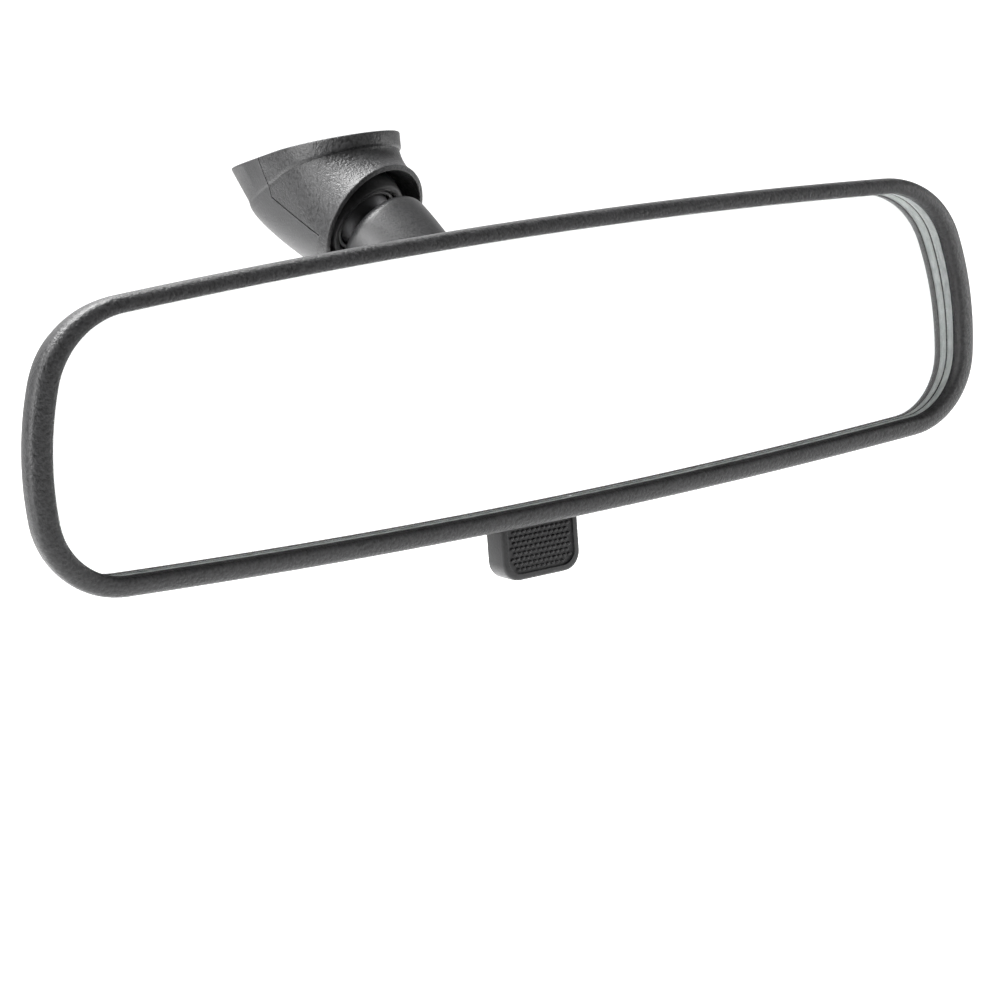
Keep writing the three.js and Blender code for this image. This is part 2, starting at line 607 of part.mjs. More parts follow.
// The bracket's body from its round mouth up to a flat top, shrunk by an inset. It runs past
// the mouth by over, so that a smaller one cuts the mouth open.
function bracketBody(inset, rimInset, over, top, roof = Infinity) {
  const start = mouthLoop(MOUTH.radius - rimInset, over);
  const wallFoot = (angle, step, up) => {
    const far = plan(angle, inset)[1];
    const [u, v] = plan(angle, inset + leanIn(far) + step * (1 - farness(far)));
    return V(u, v, Math.min(shoulder(v) + up, roof + up / 2));
  };
  const end = section((angle) => wallFoot(angle, STEP.inset, 0));
  const sections = [start];
  const steps = 6;
  for (let k = 1; k <= steps; k++) {
    const t = k / steps;
    const [h00, h10] = [2 * t ** 3 - 3 * t ** 2 + 1, t ** 3 - 2 * t ** 2 + t];
    const [h01, h11] = [3 * t ** 2 - 2 * t ** 3, t ** 3 - t ** 2];
    sections.push(
      start.map((from, i) => {
        const low = (1 - Math.sin((2 * Math.PI * i) / ROUND)) / 2;
        const leave = mouthNormal.clone().multiplyScalar(-9).add(V(0, 9 * low, -3 * low));
        const arrive = V(0, 0, 5 + 8 * low);
        return V()
          .addScaledVector(from, h00)
          .addScaledVector(leave, h10)
          .addScaledVector(end[i], h01)
          .addScaledVector(arrive, h11);
      })
    );
  }
  const lip = section((angle) => wallFoot(angle, 0, STEP.rise));
  const flat = section((angle) => {
    const [u, v] = plan(angle, inset);
    return V(u, v, top);
  });
  return loft([...sections, lip, flat]);
}

// A side view [v, w] of the bracket made as wide as it should be on both sides.
function acrossBracket(sideView, halfWidth) {
  const slab = new THREE.ExtrudeGeometry(sideView, { depth: 2 * halfWidth, bevelEnabled: false });
  const standing = new THREE.Matrix4().makeBasis(V(0, 1, 0), V(0, 0, 1), V(1, 0, 0));
  return solid(slab.applyMatrix4(standing).translate(-halfWidth, 0, 0));
}

// The part of the bracket that the cover wraps, moved out by grow: everything beyond its seam.
function coverZone(grow) {
  const zone = new THREE.Shape(
    [
      [SEAM.v - grow, 20],
      [SEAM.v - grow, SEAM.w + grow],
      [SEAM.near[0] - grow, SEAM.near[1] + grow],
      [SEAM.near[0] + 21 - grow, SEAM.near[1] - 20 - grow],
      [50, -45],
      [50, 20],
    ].map(([v, w]) => new THREE.Vector2(v, w))
  );
  return acrossBracket(zone, 30);
}

// The open end of the channel, over the low far wall.
const farNotch = () => block([-CHANNEL.lip, CHANNEL.lip], [FAR_WALL.from, 40], [FAR_WALL.top, 20]);

// Slot for the spring tongue, with a shallow pocket at its root that seats the anchor.
function clipSlot() {
  const { halfWidth, from, under } = CLIP_SLOT;
  const x = [-halfWidth, halfWidth];
  return joined(
    block(x, [from, 40], [under, 3]),
    block(x, [CLIP.anchor[0] - GAP, from + GAP], [-POCKET, 3])
  );
}

// Hole through the channel's floor, countersunk from above.
function seatHole(side) {
  const profile = [[0, 0.5], [SCREW_HOLE + 2, 0.5], [SCREW_HOLE, -1.5], [SCREW_HOLE, -10], [0, -10]];
  return turned(profile, V(0, 0, 1), V(side * SEAT_SCREW.u, SEAT_SCREW.v, 0), 20);
}

function mountBody() {
  const { halfWidth, lip, lipUnder, near, roundCentre } = CHANNEL;
  const outer = bracketBody(0, 0, 0, BRACKET.railTop);
  const underCover = cut(coverZone(GAP), bracketBody(SKIN + GAP, SKIN + GAP, 3, 20));
  const hollow = bracketBody(SKIN + GAP + 1.6, 1.8, 1, -FLOOR, -3);
  const seatSpace = turned(polarArc(CUP[1] + GAP, 0, 180, 12), mouthNormal, ballInBracket, 24);
  const underFloor = block([-30, 30], [-60, 60], [-60, -FLOOR]);
  const groove = block([-halfWidth, halfWidth], [near, 40], [0, lipUnder]);
  const betweenRails = block([-lip, lip], [roundCentre, 40], [0, 20]);
  const roundNear = bar(V(0, roundCentre, 0), V(0, roundCentre, 20), lip, 32);
  const railSlots = [-1, 1].map((side) => {
    const x = RAIL_SLOT.u.map((u) => side * u).sort((a, b) => a - b);
    return block(x, RAIL_SLOT.v, [RAIL_SLOT.floor, 20]);
  });
  const screwHoles = [-1, 1].map(seatHole);
  const channel = [groove, betweenRails, roundNear];
  const openings = [...channel, farNotch(), clipSlot(), ...railSlots, ...screwHoles];
  return cut(outer, underCover, hollow, seatSpace.intersect(underFloor), ...openings);
}

function mountCover() {
  const shell = cut(bracketBody(0, 0, 0, BRACKET.railTop), bracketBody(SKIN, SKIN, 3, 20));
  return cut(shell.intersect(coverZone(0)), farNotch(), clipSlot());
}

// Block that holds the upper ball, screwed up against the underside of the channel's floor.
function upperSocketSeat() {
  const shell = turned(shellProfile(CUP, UPPER_OPENING, 150), socketAxis, ballInBracket, 24);
  const flange = block([-10.4, 10.4], [-11.4, 1], [-FLOOR - GAP - 2.6, -FLOOR - GAP]);
  const ballSpace = turned(polarArc(CUP[0] + 0.8, 0, 180, 10), mouthNormal, ballInBracket, 24);
  const overFloor = block([-30, 30], [-60, 40], [-FLOOR - GAP, 20]);
  return cut(joined(shell, cut(flange, ballSpace)), overFloor, ...[-1, 1].map(seatHole));
}

const upperBallLiner = () => turned(shellProfile(LINER, UPPER_OPENING, 150), socketAxis, ballInBracket, 24);

// Countersunk screw, its head let into the channel's floor.
function seatScrew(side) {
  const profile = [[0, -GAP], [2.3, -GAP], [1.2, -1.4], [1.2, -6], [0.8, -6.4], [0, -6.4]];
  const slots = CROSS_SLOT.map(([w, h]) => block([-w, w], [-h, h], [-1.1, 1]));
  const screw = cut(turned(profile, V(0, 0, 1), V(), 14), ...slots);
  return screw.translate([side * SEAT_SCREW.u, SEAT_SCREW.v, 0]);
}

function clipAnchor() {
  return block([-CLIP.halfWidth - 0.6, CLIP.halfWidth + 0.6], CLIP.anchor, [GAP - POCKET, 2.2]);
}

// Spring tongue with a latch bump and a hook that hangs over the far wall.
function springClip() {
  const side = new THREE.Shape(
    [
      [CLIP.root, 0.9],
      [13.2, 1.2],
      [14.2, 2.2],
      [16.0, 2.2],
      [16.6, 1.4],
      [21.6, 1.6],
      [22.4, 1.0],
      [22.4, -4.4],
      [21.2, -4.6],
      [21.2, 0.2],
      [CLIP.root, -0.1],
    ].map(([v, w]) => new THREE.Vector2(v, w))
  );
  return acrossBracket(side, CLIP.halfWidth);
}

// ---------------------------------------------------------------- assembly

piece(head, 'bezel_frame', bezelFrame(), finish.grained());
piece(head, 'prism_glass', prismGlass(), finish.glass());
behindGlass.position.set(0, glassBack(0), 0);
behindGlass.rotation.x = -WEDGE;
piece(behindGlass, 'silver_backing', silverBacking(), finish.silver());
piece(behindGlass, 'glass_pad_left', glassPad(-1), finish.foam());
piece(behindGlass, 'glass_pad_right', glassPad(1), finish.foam());
piece(head, 'rear_case', rearCase(), finish.grained());

for (const [side, word] of [[-1, 'left'], [1, 'right']]) {
  const [from, to] = [HINGE.ear[0] - 0.4, HINGE.lug[1] + 0.4].map((x) => side * x);
  const pin = bar(V(from, HINGE.y, HINGE.z), V(to, HINGE.y, HINGE.z), HINGE.pinR, 20);
  piece(head, `hinge_pin_${word}`, pin, finish.steel());
  piece(head, `retainer_screw_${word}`, retainerScrew(side), finish.steel());
  piece(bracket, `seat_screw_${word}`, seatScrew(side), finish.steel());
}

const pivotEnds = [-1, 1].map((side) => V(side * (LEVER_PIVOT.boss[1] + 0.4), LEVER_PIVOT.y, LEVER_PIVOT.z));
piece(head, 'lever_pivot_pin', bar(...pivotEnds, LEVER_PIVOT.pinR, 20), finish.steel());
piece(head, 'toggle_lever', toggleLever(), finish.satin());
piece(head, 'toggle_spring', toggleSpring(), finish.springSteel());
piece(head, 'toggle_plate', togglePlate(), finish.inner());
piece(head, 'socket_retainer', socketRetainer(), finish.inner());
piece(head, 'socket_cup', socketCup(), finish.nylon());
piece(head, 'socket_clamp_ring', socketClampRing(), finish.springSteel());
piece(head, 'lower_ball_liner', lowerBallLiner(), finish.nylon());

piece(arm, 'lower_ball_stud', ballStud(true), finish.steel());
piece(arm, 'upper_ball_stud', ballStud(false), finish.steel());
piece(arm, 'arm_sleeve', armSleeve(), finish.satin());

piece(bracket, 'mount_body', mountBody(), finish.grained());
piece(bracket, 'mount_cover', mountCover(), finish.satin());
piece(bracket, 'upper_socket_seat', upperSocketSeat(), finish.inner());
piece(bracket, 'upper_ball_liner', upperBallLiner(), finish.nylon());
piece(bracket, 'clip_anchor', clipAnchor(), finish.inner());
piece(bracket, 'spring_clip', springClip(), finish.springSteel());

export default mirror;
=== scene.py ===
import math

import bmesh
import bpy
import numpy as np
from mathutils import Matrix, Vector


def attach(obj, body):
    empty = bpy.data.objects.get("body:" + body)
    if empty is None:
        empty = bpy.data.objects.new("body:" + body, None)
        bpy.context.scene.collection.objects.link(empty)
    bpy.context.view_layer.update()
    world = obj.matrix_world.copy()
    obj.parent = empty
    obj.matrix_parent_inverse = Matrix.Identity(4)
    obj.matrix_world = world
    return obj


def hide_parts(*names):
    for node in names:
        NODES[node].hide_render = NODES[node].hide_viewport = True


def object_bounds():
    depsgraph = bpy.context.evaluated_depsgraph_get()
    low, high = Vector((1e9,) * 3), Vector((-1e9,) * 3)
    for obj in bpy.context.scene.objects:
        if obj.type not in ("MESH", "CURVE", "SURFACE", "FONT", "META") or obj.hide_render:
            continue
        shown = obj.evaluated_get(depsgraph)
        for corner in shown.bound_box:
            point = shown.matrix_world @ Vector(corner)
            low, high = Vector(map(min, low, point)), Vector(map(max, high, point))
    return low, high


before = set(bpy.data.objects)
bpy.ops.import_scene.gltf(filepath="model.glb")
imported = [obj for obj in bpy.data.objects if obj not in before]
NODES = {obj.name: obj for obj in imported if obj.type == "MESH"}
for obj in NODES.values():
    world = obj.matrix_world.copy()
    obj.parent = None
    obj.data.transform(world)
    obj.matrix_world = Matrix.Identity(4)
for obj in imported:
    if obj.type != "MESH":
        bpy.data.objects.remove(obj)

CAD_BOX = [list(corner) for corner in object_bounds()]

# ---------------------------------------------------------------- driving sizes, as in the part

SEAT = Vector((-10, 70, 42.1))  # the row's origin in the head's frame
SEAT_TILT = math.radians(12)
LOWER_BALL = Vector((0, 17, 5))
UPPER_BALL = Vector((-10, 56, 33.7))
GAP = 0.3

RIM = dict(half=118, side_z=-5.6, side_r=68.5, top=29.76, top_r=1754, bottom=28.52, bottom_r=2074)
CORNERS = dict(top=17.8, bottom=14.7)
BAND_BACK = 13.0
BAND_SHARE = (0.67, 0.83)  # of the band's reach, along the top and bottom
CASE_BACK = 22.6
CASE_OFFSET = 0.2
DOME_POWER = 3.2
GLASS = dict(front=1.8, thin=3.0, thick=5.2, edge=0.45, silver=0.4)
RECESS = dict(r=14.3, z=8.4)
NOTCH = dict(half=14, z=-22.6)
BALL_R = 7.5
NECK_R = 4.0
LINER = (7.8, 8.8)
CUP = (9.1, 10.9)
MOUTH_ANGLE = dict(lower=66, upper=63)
CUP_TILT = math.radians(28)
PIVOT = dict(y=10.5, z=-22.5, hub=3.2, hole=1.6)
FINGER = (13.8, -16.8)  # y and z of the rod that drives the fork
TAB = dict(mid=0.4, half=10.2, top=-31.5, bottom=-45.9, front=6.0, back=12.6, corner=4.2)

BRACKET = dict(half=15.6, near=-7, far=26.4, top=5, square=6, lean=2.4)
MOUTH = dict(r=14.6, ahead=6.6, tilt=math.radians(10))
FLOOR = 2.0
CHANNEL = dict(half=12.3, lip=10.9, under=2.6, near=-14, round_at=-6)
SKIN = 1.3
SEAM = dict(v=0.4, w=-4.6, near=(-16, -16))

GLASS_INDEX = 1.5
LENS = 122.4  # focal length on Blender's 36 mm wide sensor
FLOOR_DROP = 0.25  # metres from the lowest point of the part to the floor
FLOOR_REACH = 12.0  # metres from the middle of the floor to its edges

MM = 0.001
PLASTIC_EDGE = 0.2 * MM  # how far the edges of the plastics look rounded
HEAD = Matrix.Translation(-SEAT)
BRACKET_FRAME = Matrix.Rotation(-SEAT_TILT, 4, "X")
ARM_AXIS = (UPPER_BALL - LOWER_BALL).normalized()
ARM_LENGTH = (UPPER_BALL - LOWER_BALL).length
ARM_TURN = Vector((0, 0, 1)).rotation_difference(ARM_AXIS).to_matrix().to_4x4()
ARM = HEAD @ Matrix.Translation(LOWER_BALL) @ ARM_TURN
TO_BRACKET = Matrix.Rotation(SEAT_TILT, 3, "X")


# ---------------------------------------------------------------- mesh tools

def new_object(name, verts, faces):
    mesh = bpy.data.meshes.new(name)
    mesh.from_pydata([tuple(v) for v in verts], [], faces)
    mesh.validate()
    obj = bpy.data.objects.new(name, mesh)
    bpy.context.scene.collection.objects.link(obj)
    tidy_normals(obj)
    return obj


def tidy_normals(obj):
    work = bmesh.new()
    work.from_mesh(obj.data)
    bmesh.ops.recalc_face_normals(work, faces=work.faces)
    work.to_mesh(obj.data)
    work.free()


def skin(name, loops, caps=True, closed=False):
    """A surface through closed loops of equal point count, with flat ends or joined end to end."""
    rows, count = len(loops), len(loops[0])
    verts = [p for loop in loops for p in loop]
    faces = []
    for r in range(rows if closed else rows - 1):
        a, b = r * count, ((r + 1) % rows) * count
        for i in range(count):
            j = (i + 1) % count
            faces.append((a + i, a + j, b + j, b + i))
    if caps and not closed:
        faces.append(tuple(range(count)))
        faces.append(tuple(range((rows - 1) * count, rows * count)))
    return new_object(name, verts, faces)


def lathe(name, profile, centre=(0, 0, 0), axis=(0, 0, 1), sides=96):
    """A closed profile of (radius, height) turned about an axis; it may start and end on the axis."""
    turn = Vector((0, 0, 1)).rotation_difference(Vector(axis)).to_matrix()
    on_axis = profile[0][0] == 0 and profile[-1][0] == 0
    body = profile[1:-1] if on_axis else profile
    loops = []
    for radius, height in body:
        ring = []
        for k in range(sides):
            angle = 2 * math.pi * k / sides
            point = Vector((radius * math.cos(angle), radius * math.sin(angle), height))
            ring.append(Vector(centre) + turn @ point)
        loops.append(ring)
    if not on_axis:
        return skin(name, loops, caps=False, closed=True)
    verts = [p for loop in loops for p in loop]
    ends = [Vector(centre) + turn @ Vector((0, 0, h)) for _, h in (profile[0], profile[-1])]
    first, last = len(verts), len(verts) + 1
    faces = []
    for r in range(len(loops) - 1):
        for i in range(sides):
            j = (i + 1) % sides
            a, b = r * sides, (r + 1) * sides
            faces.append((a + i, a + j, b + j, b + i))
    for i in range(sides):
        j = (i + 1) % sides
        tail = (len(loops) - 1) * sides
        faces.append((first, j, i))
        faces.append((last, tail + i, tail + j))
    return new_object(name, verts + ends, faces)


def box(name, x, y, z):
    corners = [(a, b, c) for a in x for b in y for c in z]
    faces = [(0, 1, 3, 2), (4, 6, 7, 5), (0, 4, 5, 1), (2, 3, 7, 6), (0, 2, 6, 4), (1, 5, 7, 3)]
    return new_object(name, corners, faces)


def prism(name, outline, axis, start, end):
    """An outline in the plane across an axis, "X", "Y" or "Z", made solid from start to end."""
    place = {
        "X": lambda a, b, t: (t, a, b),
        "Y": lambda a, b, t: (a, t, b),
        "Z": lambda a, b, t: (a, b, t),
    }[axis]
    loops = [[place(a, b, t) for a, b in outline] for t in (start, end)]
    return skin(name, loops)


def apply_modifiers(obj):
    bpy.context.view_layer.update()
    graph = bpy.context.evaluated_depsgraph_get()
    mesh = bpy.data.meshes.new_from_object(obj.evaluated_get(graph))
    old = obj.data
    obj.modifiers.clear()
    obj.data = mesh
    bpy.data.meshes.remove(old)


def combine(obj, operation, *tools):
    """Joins, cuts or intersects obj with each tool, and removes the tools."""
    for tool in tools:
        step = obj.modifiers.new("combine", "BOOLEAN")
        step.operation = operation
        step.solver = "EXACT"
        step.object = tool
        apply_modifiers(obj)
        remove(tool)
    return obj


def remove(obj):
    mesh = obj.data
    bpy.data.objects.remove(obj)
    bpy.data.meshes.remove(mesh)


def cut(obj, *tools):
    return combine(obj, "DIFFERENCE", *tools)


def add(obj, *tools):
    return combine(obj, "UNION", *tools)


def round_edges(obj, width, segments=3, angle=35):
    step = obj.modifiers.new("round", "BEVEL")
    step.width = width
    step.segments = segments
    step.limit_method = "ANGLE"
    step.angle_limit = math.radians(angle)
    apply_modifiers(obj)
    return obj


def arc(radius, start, end, steps):
    """Points of an arc about the turning axis, its angles in degrees from that axis."""
    points = []
    for i in range(steps + 1):
        angle = math.radians(start + (end - start) * i / steps)
        points.append((radius * math.sin(angle), radius * math.cos(angle)))
    return points


def smooth(points, steps=6):
    """A smooth curve through points, with its ends kept."""
    pts = np.array([points[0], *points, points[-1]], float)
    out = []
    for k in range(1, len(pts) - 2):
        p0, p1, p2, p3 = pts[k - 1 : k + 3]
        for i in range(steps):
            t = i / steps
            out.append(
                0.5
                * (
                    2 * p1
                    + (p2 - p0) * t
                    + (2 * p0 - 5 * p1 + 4 * p2 - p3) * t**2
                    + (3 * p1 - p0 - 3 * p2 + p3) * t**3
                )
            )
    out.append(pts[-2])
    return [tuple(p) for p in out]


def finish(obj, place, body, node, material, crease=35):
    """Puts a finished piece into the row's frame, attaches it to its body and hides the node it replaces."""
    obj.data.transform(Matrix.Scale(MM, 4) @ place)
    tidy_normals(obj)
    obj.data.polygons.foreach_set("use_smooth", [True] * len(obj.data.polygons))
    obj.data.set_sharp_from_angle(angle=math.radians(crease))
    obj.data.materials.clear()
    obj.data.materials.append(material)
    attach(obj, body)
    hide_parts(node)
    return obj


# ---------------------------------------------------------------- materials

def shader(name):
    material = bpy.data.materials.new(name)
    material.use_nodes = True
    tree = material.node_tree
    return material, tree, tree.nodes["Principled BSDF"]


def noise(tree, coordinates, scale, detail=2.0, roughness=0.5):
    node = tree.nodes.new("ShaderNodeTexNoise")
    node.inputs["Scale"].default_value = scale
    node.inputs["Detail"].default_value = detail
    node.inputs["Roughness"].default_value = roughness
    tree.links.new(coordinates, node.inputs["Vector"])
    return node.outputs["Fac"]


def remap(tree, value, low, high):
    node = tree.nodes.new("ShaderNodeMapRange")
    node.inputs["From Min"].default_value = 0.3
    node.inputs["From Max"].default_value = 0.7
    node.inputs["To Min"].default_value = low
    node.inputs["To Max"].default_value = high
    tree.links.new(value, node.inputs["Value"])
    return node.outputs["Result"]


def add_values(tree, first, second, weight):
    scaled = tree.nodes.new("ShaderNodeMath")
    scaled.operation = "MULTIPLY_ADD"
    tree.links.new(second, scaled.inputs[0])
    scaled.inputs[1].default_value = weight
    tree.links.new(first, scaled.inputs[2])
    return scaled.outputs[0]


def bump(tree, height, distance, strength, normal=None):
    node = tree.nodes.new("ShaderNodeBump")
    node.inputs["Distance"].default_value = distance
    node.inputs["Strength"].default_value = strength
    tree.links.new(height, node.inputs["Height"])
    if normal is not None:
        tree.links.new(normal, node.inputs["Normal"])
    return node.outputs["Normal"]


def edge_mask(tree, low, high):
    """White on outward edges and black elsewhere."""
    geometry = tree.nodes.new("ShaderNodeNewGeometry")
    ramp = tree.nodes.new("ShaderNodeMapRange")
    ramp.inputs["From Min"].default_value = low
    ramp.inputs["From Max"].default_value = high
    tree.links.new(geometry.outputs["Pointiness"], ramp.inputs["Value"])
    return ramp.outputs["Result"]


def tone(tree, factor, first, second):
    mix = tree.nodes.new("ShaderNodeMix")
    mix.data_type = "RGBA"
    mix.inputs["A"].default_value = (*first, 1)
    mix.inputs["B"].default_value = (*second, 1)
    tree.links.new(factor, mix.inputs["Factor"])
    return mix.outputs["Result"]


def soft_edge(tree, radius):
    node = tree.nodes.new("ShaderNodeBevel")
    node.samples = 4
    node.inputs["Radius"].default_value = radius
    return node.outputs["Normal"]


def moulded(name, grey, rough, grain, depth, contrast=1.0, specular=0.4):
    """Dark moulded plastic with an even speckled grain, faint mottling and edges rubbed smoother.
    grain is the size of its specks and depth their height, in millimetres."""
    material, tree, bsdf = shader(name)
    where = tree.nodes.new("ShaderNodeTexCoord").outputs["Object"]
    per_mm = 1 / MM
    speck = noise(tree, where, per_mm / grain, 1.5, 0.6)
    pores = noise(tree, where, per_mm / (grain * 0.4), 2)
    mottle = noise(tree, where, per_mm / 12, 3)
    worn = edge_mask(tree, 0.53, 0.64)
    shade = add_values(tree, speck, mottle, 0.25)
    dark = tuple(c * (1 - 0.6 * contrast) for c in grey)
    light = tuple(c * (1 + 1.1 * contrast) for c in grey)
    colour = tone(tree, remap(tree, shade, -0.35, 1.0), dark, light)
    rubbed = tree.nodes.new("ShaderNodeMix")
    rubbed.data_type = "RGBA"
    rubbed.inputs["B"].default_value = (*(c * 2.2 for c in grey), 1)
    tree.links.new(colour, rubbed.inputs["A"])
    tree.links.new(worn, rubbed.inputs["Factor"])
    tree.links.new(rubbed.outputs["Result"], bsdf.inputs["Base Color"])
    roughness = remap(tree, add_values(tree, speck, mottle, 0.3), rough - 0.07, rough + 0.06)
    polished = add_values(tree, roughness, worn, -0.08)
    tree.links.new(polished, bsdf.inputs["Roughness"])
    height = add_values(tree, speck, pores, 0.35)
    tree.links.new(
        bump(tree, height, depth * MM, 1.0, soft_edge(tree, PLASTIC_EDGE)), bsdf.inputs["Normal"]
    )
    bsdf.inputs["Specular IOR Level"].default_value = specular
    return material


def metal(name, colour, rough, streak=(1, 1, 1), rounding=0.0001):
    """Plain steel with fine streaks, stretched by streak, and small stains."""
    material, tree, bsdf = shader(name)
    where = tree.nodes.new("ShaderNodeTexCoord").outputs["Object"]
    stretch = tree.nodes.new("ShaderNodeMapping")
    stretch.inputs["Scale"].default_value = streak
    tree.links.new(where, stretch.inputs["Vector"])
    streaks = noise(tree, stretch.outputs["Vector"], 2500, 4, 0.7)
    stains = noise(tree, where, 160, 4)
    tree.links.new(
        tone(tree, remap(tree, stains, 0, 1), tuple(c * 0.8 for c in colour), colour),
        bsdf.inputs["Base Color"],
    )
    spread = remap(tree, add_values(tree, streaks, stains, 0.4), rough - 0.06, rough + 0.1)
    tree.links.new(spread, bsdf.inputs["Roughness"])
    tree.links.new(
        bump(tree, streaks, 0.00001, 0.5, soft_edge(tree, rounding)), bsdf.inputs["Normal"]
    )
    bsdf.inputs["Metallic"].default_value = 1
    return material


def polished_glass():
    material, tree, bsdf = shader("polished_glass")
    where = tree.nodes.new("ShaderNodeTexCoord").outputs["Object"]
    haze = noise(tree, where, 90, 5)
    tree.links.new(remap(tree, haze, 0.0, 0.012), bsdf.inputs["Roughness"])
    bsdf.inputs["Base Color"].default_value = (0.99, 0.995, 0.992, 1)
    bsdf.inputs["Transmission Weight"].default_value = 1
    bsdf.inputs["IOR"].default_value = 1.52
    return material


def ground_glass():
    """The sawn and ground edge of the glass, grey-white and rough."""
    material, tree, bsdf = shader("ground_glass")
    where = tree.nodes.new("ShaderNodeTexCoord").outputs["Object"]
    grit = noise(tree, where, 6000, 3)
    chips = noise(tree, where, 500, 3)
    tree.links.new(
        tone(tree, remap(tree, chips, 0, 1), (0.5, 0.53, 0.52), (0.72, 0.75, 0.74)),
        bsdf.inputs["Base Color"],
    )
    tree.links.new(remap(tree, grit, 0.5, 0.8), bsdf.inputs["Roughness"])
    tree.links.new(bump(tree, grit, 0.00004, 0.7), bsdf.inputs["Normal"])
    return material


def silvering():
    material, tree, bsdf = shader("silvering")
    where = tree.nodes.new("ShaderNodeTexCoord").outputs["Object"]
    film = noise(tree, where, 60, 4)
    tree.links.new(
        tone(tree, remap(tree, film, 0, 1), (0.955, 0.96, 0.96), (0.985, 0.985, 0.985)),
        bsdf.inputs["Base Color"],
    )
    tree.links.new(remap(tree, film, 0.0, 0.008), bsdf.inputs["Roughness"])
    bsdf.inputs["Metallic"].default_value = 1
    return material


def open_foam():
    material, tree, bsdf = shader("open_foam")
    where = tree.nodes.new("ShaderNodeTexCoord").outputs["Object"]
    cells = tree.nodes.new("ShaderNodeTexVoronoi")
    cells.inputs["Scale"].default_value = 1800
    tree.links.new(where, cells.inputs["Vector"])
    tree.links.new(
        tone(tree, cells.outputs["Distance"], (0.008, 0.008, 0.009), (0.06, 0.06, 0.062)),
        bsdf.inputs["Base Color"],
    )
    bsdf.inputs["Roughness"].default_value = 0.95
    tree.links.new(bump(tree, cells.outputs["Distance"], 0.0003, 0.9), bsdf.inputs["Normal"])
    return material


BEZEL = moulded("bezel_grain", (0.006, 0.006, 0.0063), 0.44, grain=0.7, depth=0.2, specular=0.26)
CASE = moulded("case_grain", (0.006, 0.006, 0.0063), 0.46, grain=0.6, depth=0.16, specular=0.3)
MOUNT = moulded("mount_grain", (0.007, 0.007, 0.0073), 0.44, grain=0.7, depth=0.18, specular=0.32)
COVER = moulded(
    "cover_satin", (0.009, 0.009, 0.0094), 0.42, grain=0.5, depth=0.06, contrast=0.7, specular=0.35
)
SLEEVE = moulded(
    "sleeve_satin", (0.009, 0.009, 0.0094), 0.4, grain=0.45, depth=0.04, contrast=0.6, specular=0.35
)
LEVER = moulded(
    "lever_satin", (0.006, 0.006, 0.0063), 0.44, grain=0.5, depth=0.05, contrast=0.7, specular=0.28
)
INNER = moulded(
    "inner_plastic", (0.008, 0.008, 0.0084), 0.55, grain=0.5, depth=0.05, contrast=0.6, specular=0.3
)
GLOSS = moulded(
    "clip_gloss", (0.008, 0.008, 0.0085), 0.2, grain=0.5, depth=0.006, contrast=0.4, specular=0.6
)
# The liners' nylon is painted near black: painted shade standing in for the shadow inside the socket mouths.
LINER_NYLON_PAINTED_SHADE = moulded(
    "liner_nylon_painted_shade", (0.03, 0.03, 0.03), 0.5, grain=0.3, depth=0.015, contrast=0.3, specular=0.3
)
SOCKET = metal("socket_casting", (0.42, 0.42, 0.43), 0.38, (1, 1, 1), 0.0002)
STEEL = metal("zinc_steel", (0.55, 0.55, 0.57), 0.3, (1, 1, 0.2))
# The ball studs' steel is painted near black: painted shade standing in for the shadow inside the socket
# mouths where the balls sit.
STUD_STEEL_PAINTED_SHADE = metal("stud_steel_painted_shade", (0.06, 0.06, 0.062), 0.42, (1, 1, 0.2))
SPRING = metal("spring_steel", (0.36, 0.37, 0.38), 0.32, (0.2, 1, 1))
POLISHED = polished_glass()
GROUND = ground_glass()
SILVER = silvering()
FOAM = open_foam()


# ---------------------------------------------------------------- outline of the head

def corner_centre(c1, r1, c2, r2, r, up):
    a, b = r1 - r, r2 - r
    dx, dz = c2[0] - c1[0], c2[1] - c1[1]
    d = math.hypot(dx, dz)
    along = (a * a - b * b + d * d) / (2 * d)
    off = math.sqrt(a * a - along * along)
    foot = (c1[0] + dx * along / d, c1[1] + dz * along / d)
    found = [(foot[0] - s * dz * off / d, foot[1] + s * dx * off / d) for s in (1, -1)]
    return max(found, key=lambda p: p[0] + up * p[1])


def rim_samples():
    """The outline as (x, z, r, angle) on its arcs, so that an offset only adds to r."""
    top = (0, RIM["top"] - RIM["top_r"])
    bottom = (0, RIM["bottom_r"] - RIM["bottom"])
    side = (RIM["half"] - RIM["side_r"], RIM["side_z"])
    low = corner_centre(bottom, RIM["bottom_r"], side, RIM["side_r"], CORNERS["bottom"], -1)
    high = corner_centre(top, RIM["top_r"], side, RIM["side_r"], CORNERS["top"], 1)

    def angle(start, end):
        return math.atan2(end[1] - start[1], end[0] - start[0])

    arcs = [
        (bottom, RIM["bottom_r"], -math.pi / 2, angle(bottom, low), 26),
        (low, CORNERS["bottom"], angle(bottom, low), angle(side, low), 16),
        (side, RIM["side_r"], angle(side, low), angle(side, high), 14),
        (high, CORNERS["top"], angle(side, high), angle(top, high), 18),
        (top, RIM["top_r"], angle(top, high), math.pi / 2, 26),
    ]
    right = []
    for centre, r, start, end, steps in arcs:
        for i in range(steps):
            right.append((*centre, r, start + (end - start) * i / steps))
    crown = (*top, RIM["top_r"], math.pi / 2)
    left = [(-x, z, r, math.pi - a) for x, z, r, a in reversed(right[1:])]
    return [*right, crown, *left]


SAMPLES = rim_samples()


def rim(offset, y, scale=1.0, share=(1, 1)):
    """The outline at depth y, grown by offset and then scaled; y may be a function of (x, z).
    Along the top and bottom it may reach only a share of the offset."""
    loop = []
    for x, z, r, angle in SAMPLES:
        up = math.sin(angle)
        reach = r + offset * (1 - (1 - share[0 if up > 0 else 1]) * up * up)
        px = scale * (x + reach * math.cos(angle))
        pz = scale * (z + reach * math.sin(angle))
        loop.append((px, y(px, pz) if callable(y) else y, pz))
    return loop


# ---------------------------------------------------------------- head

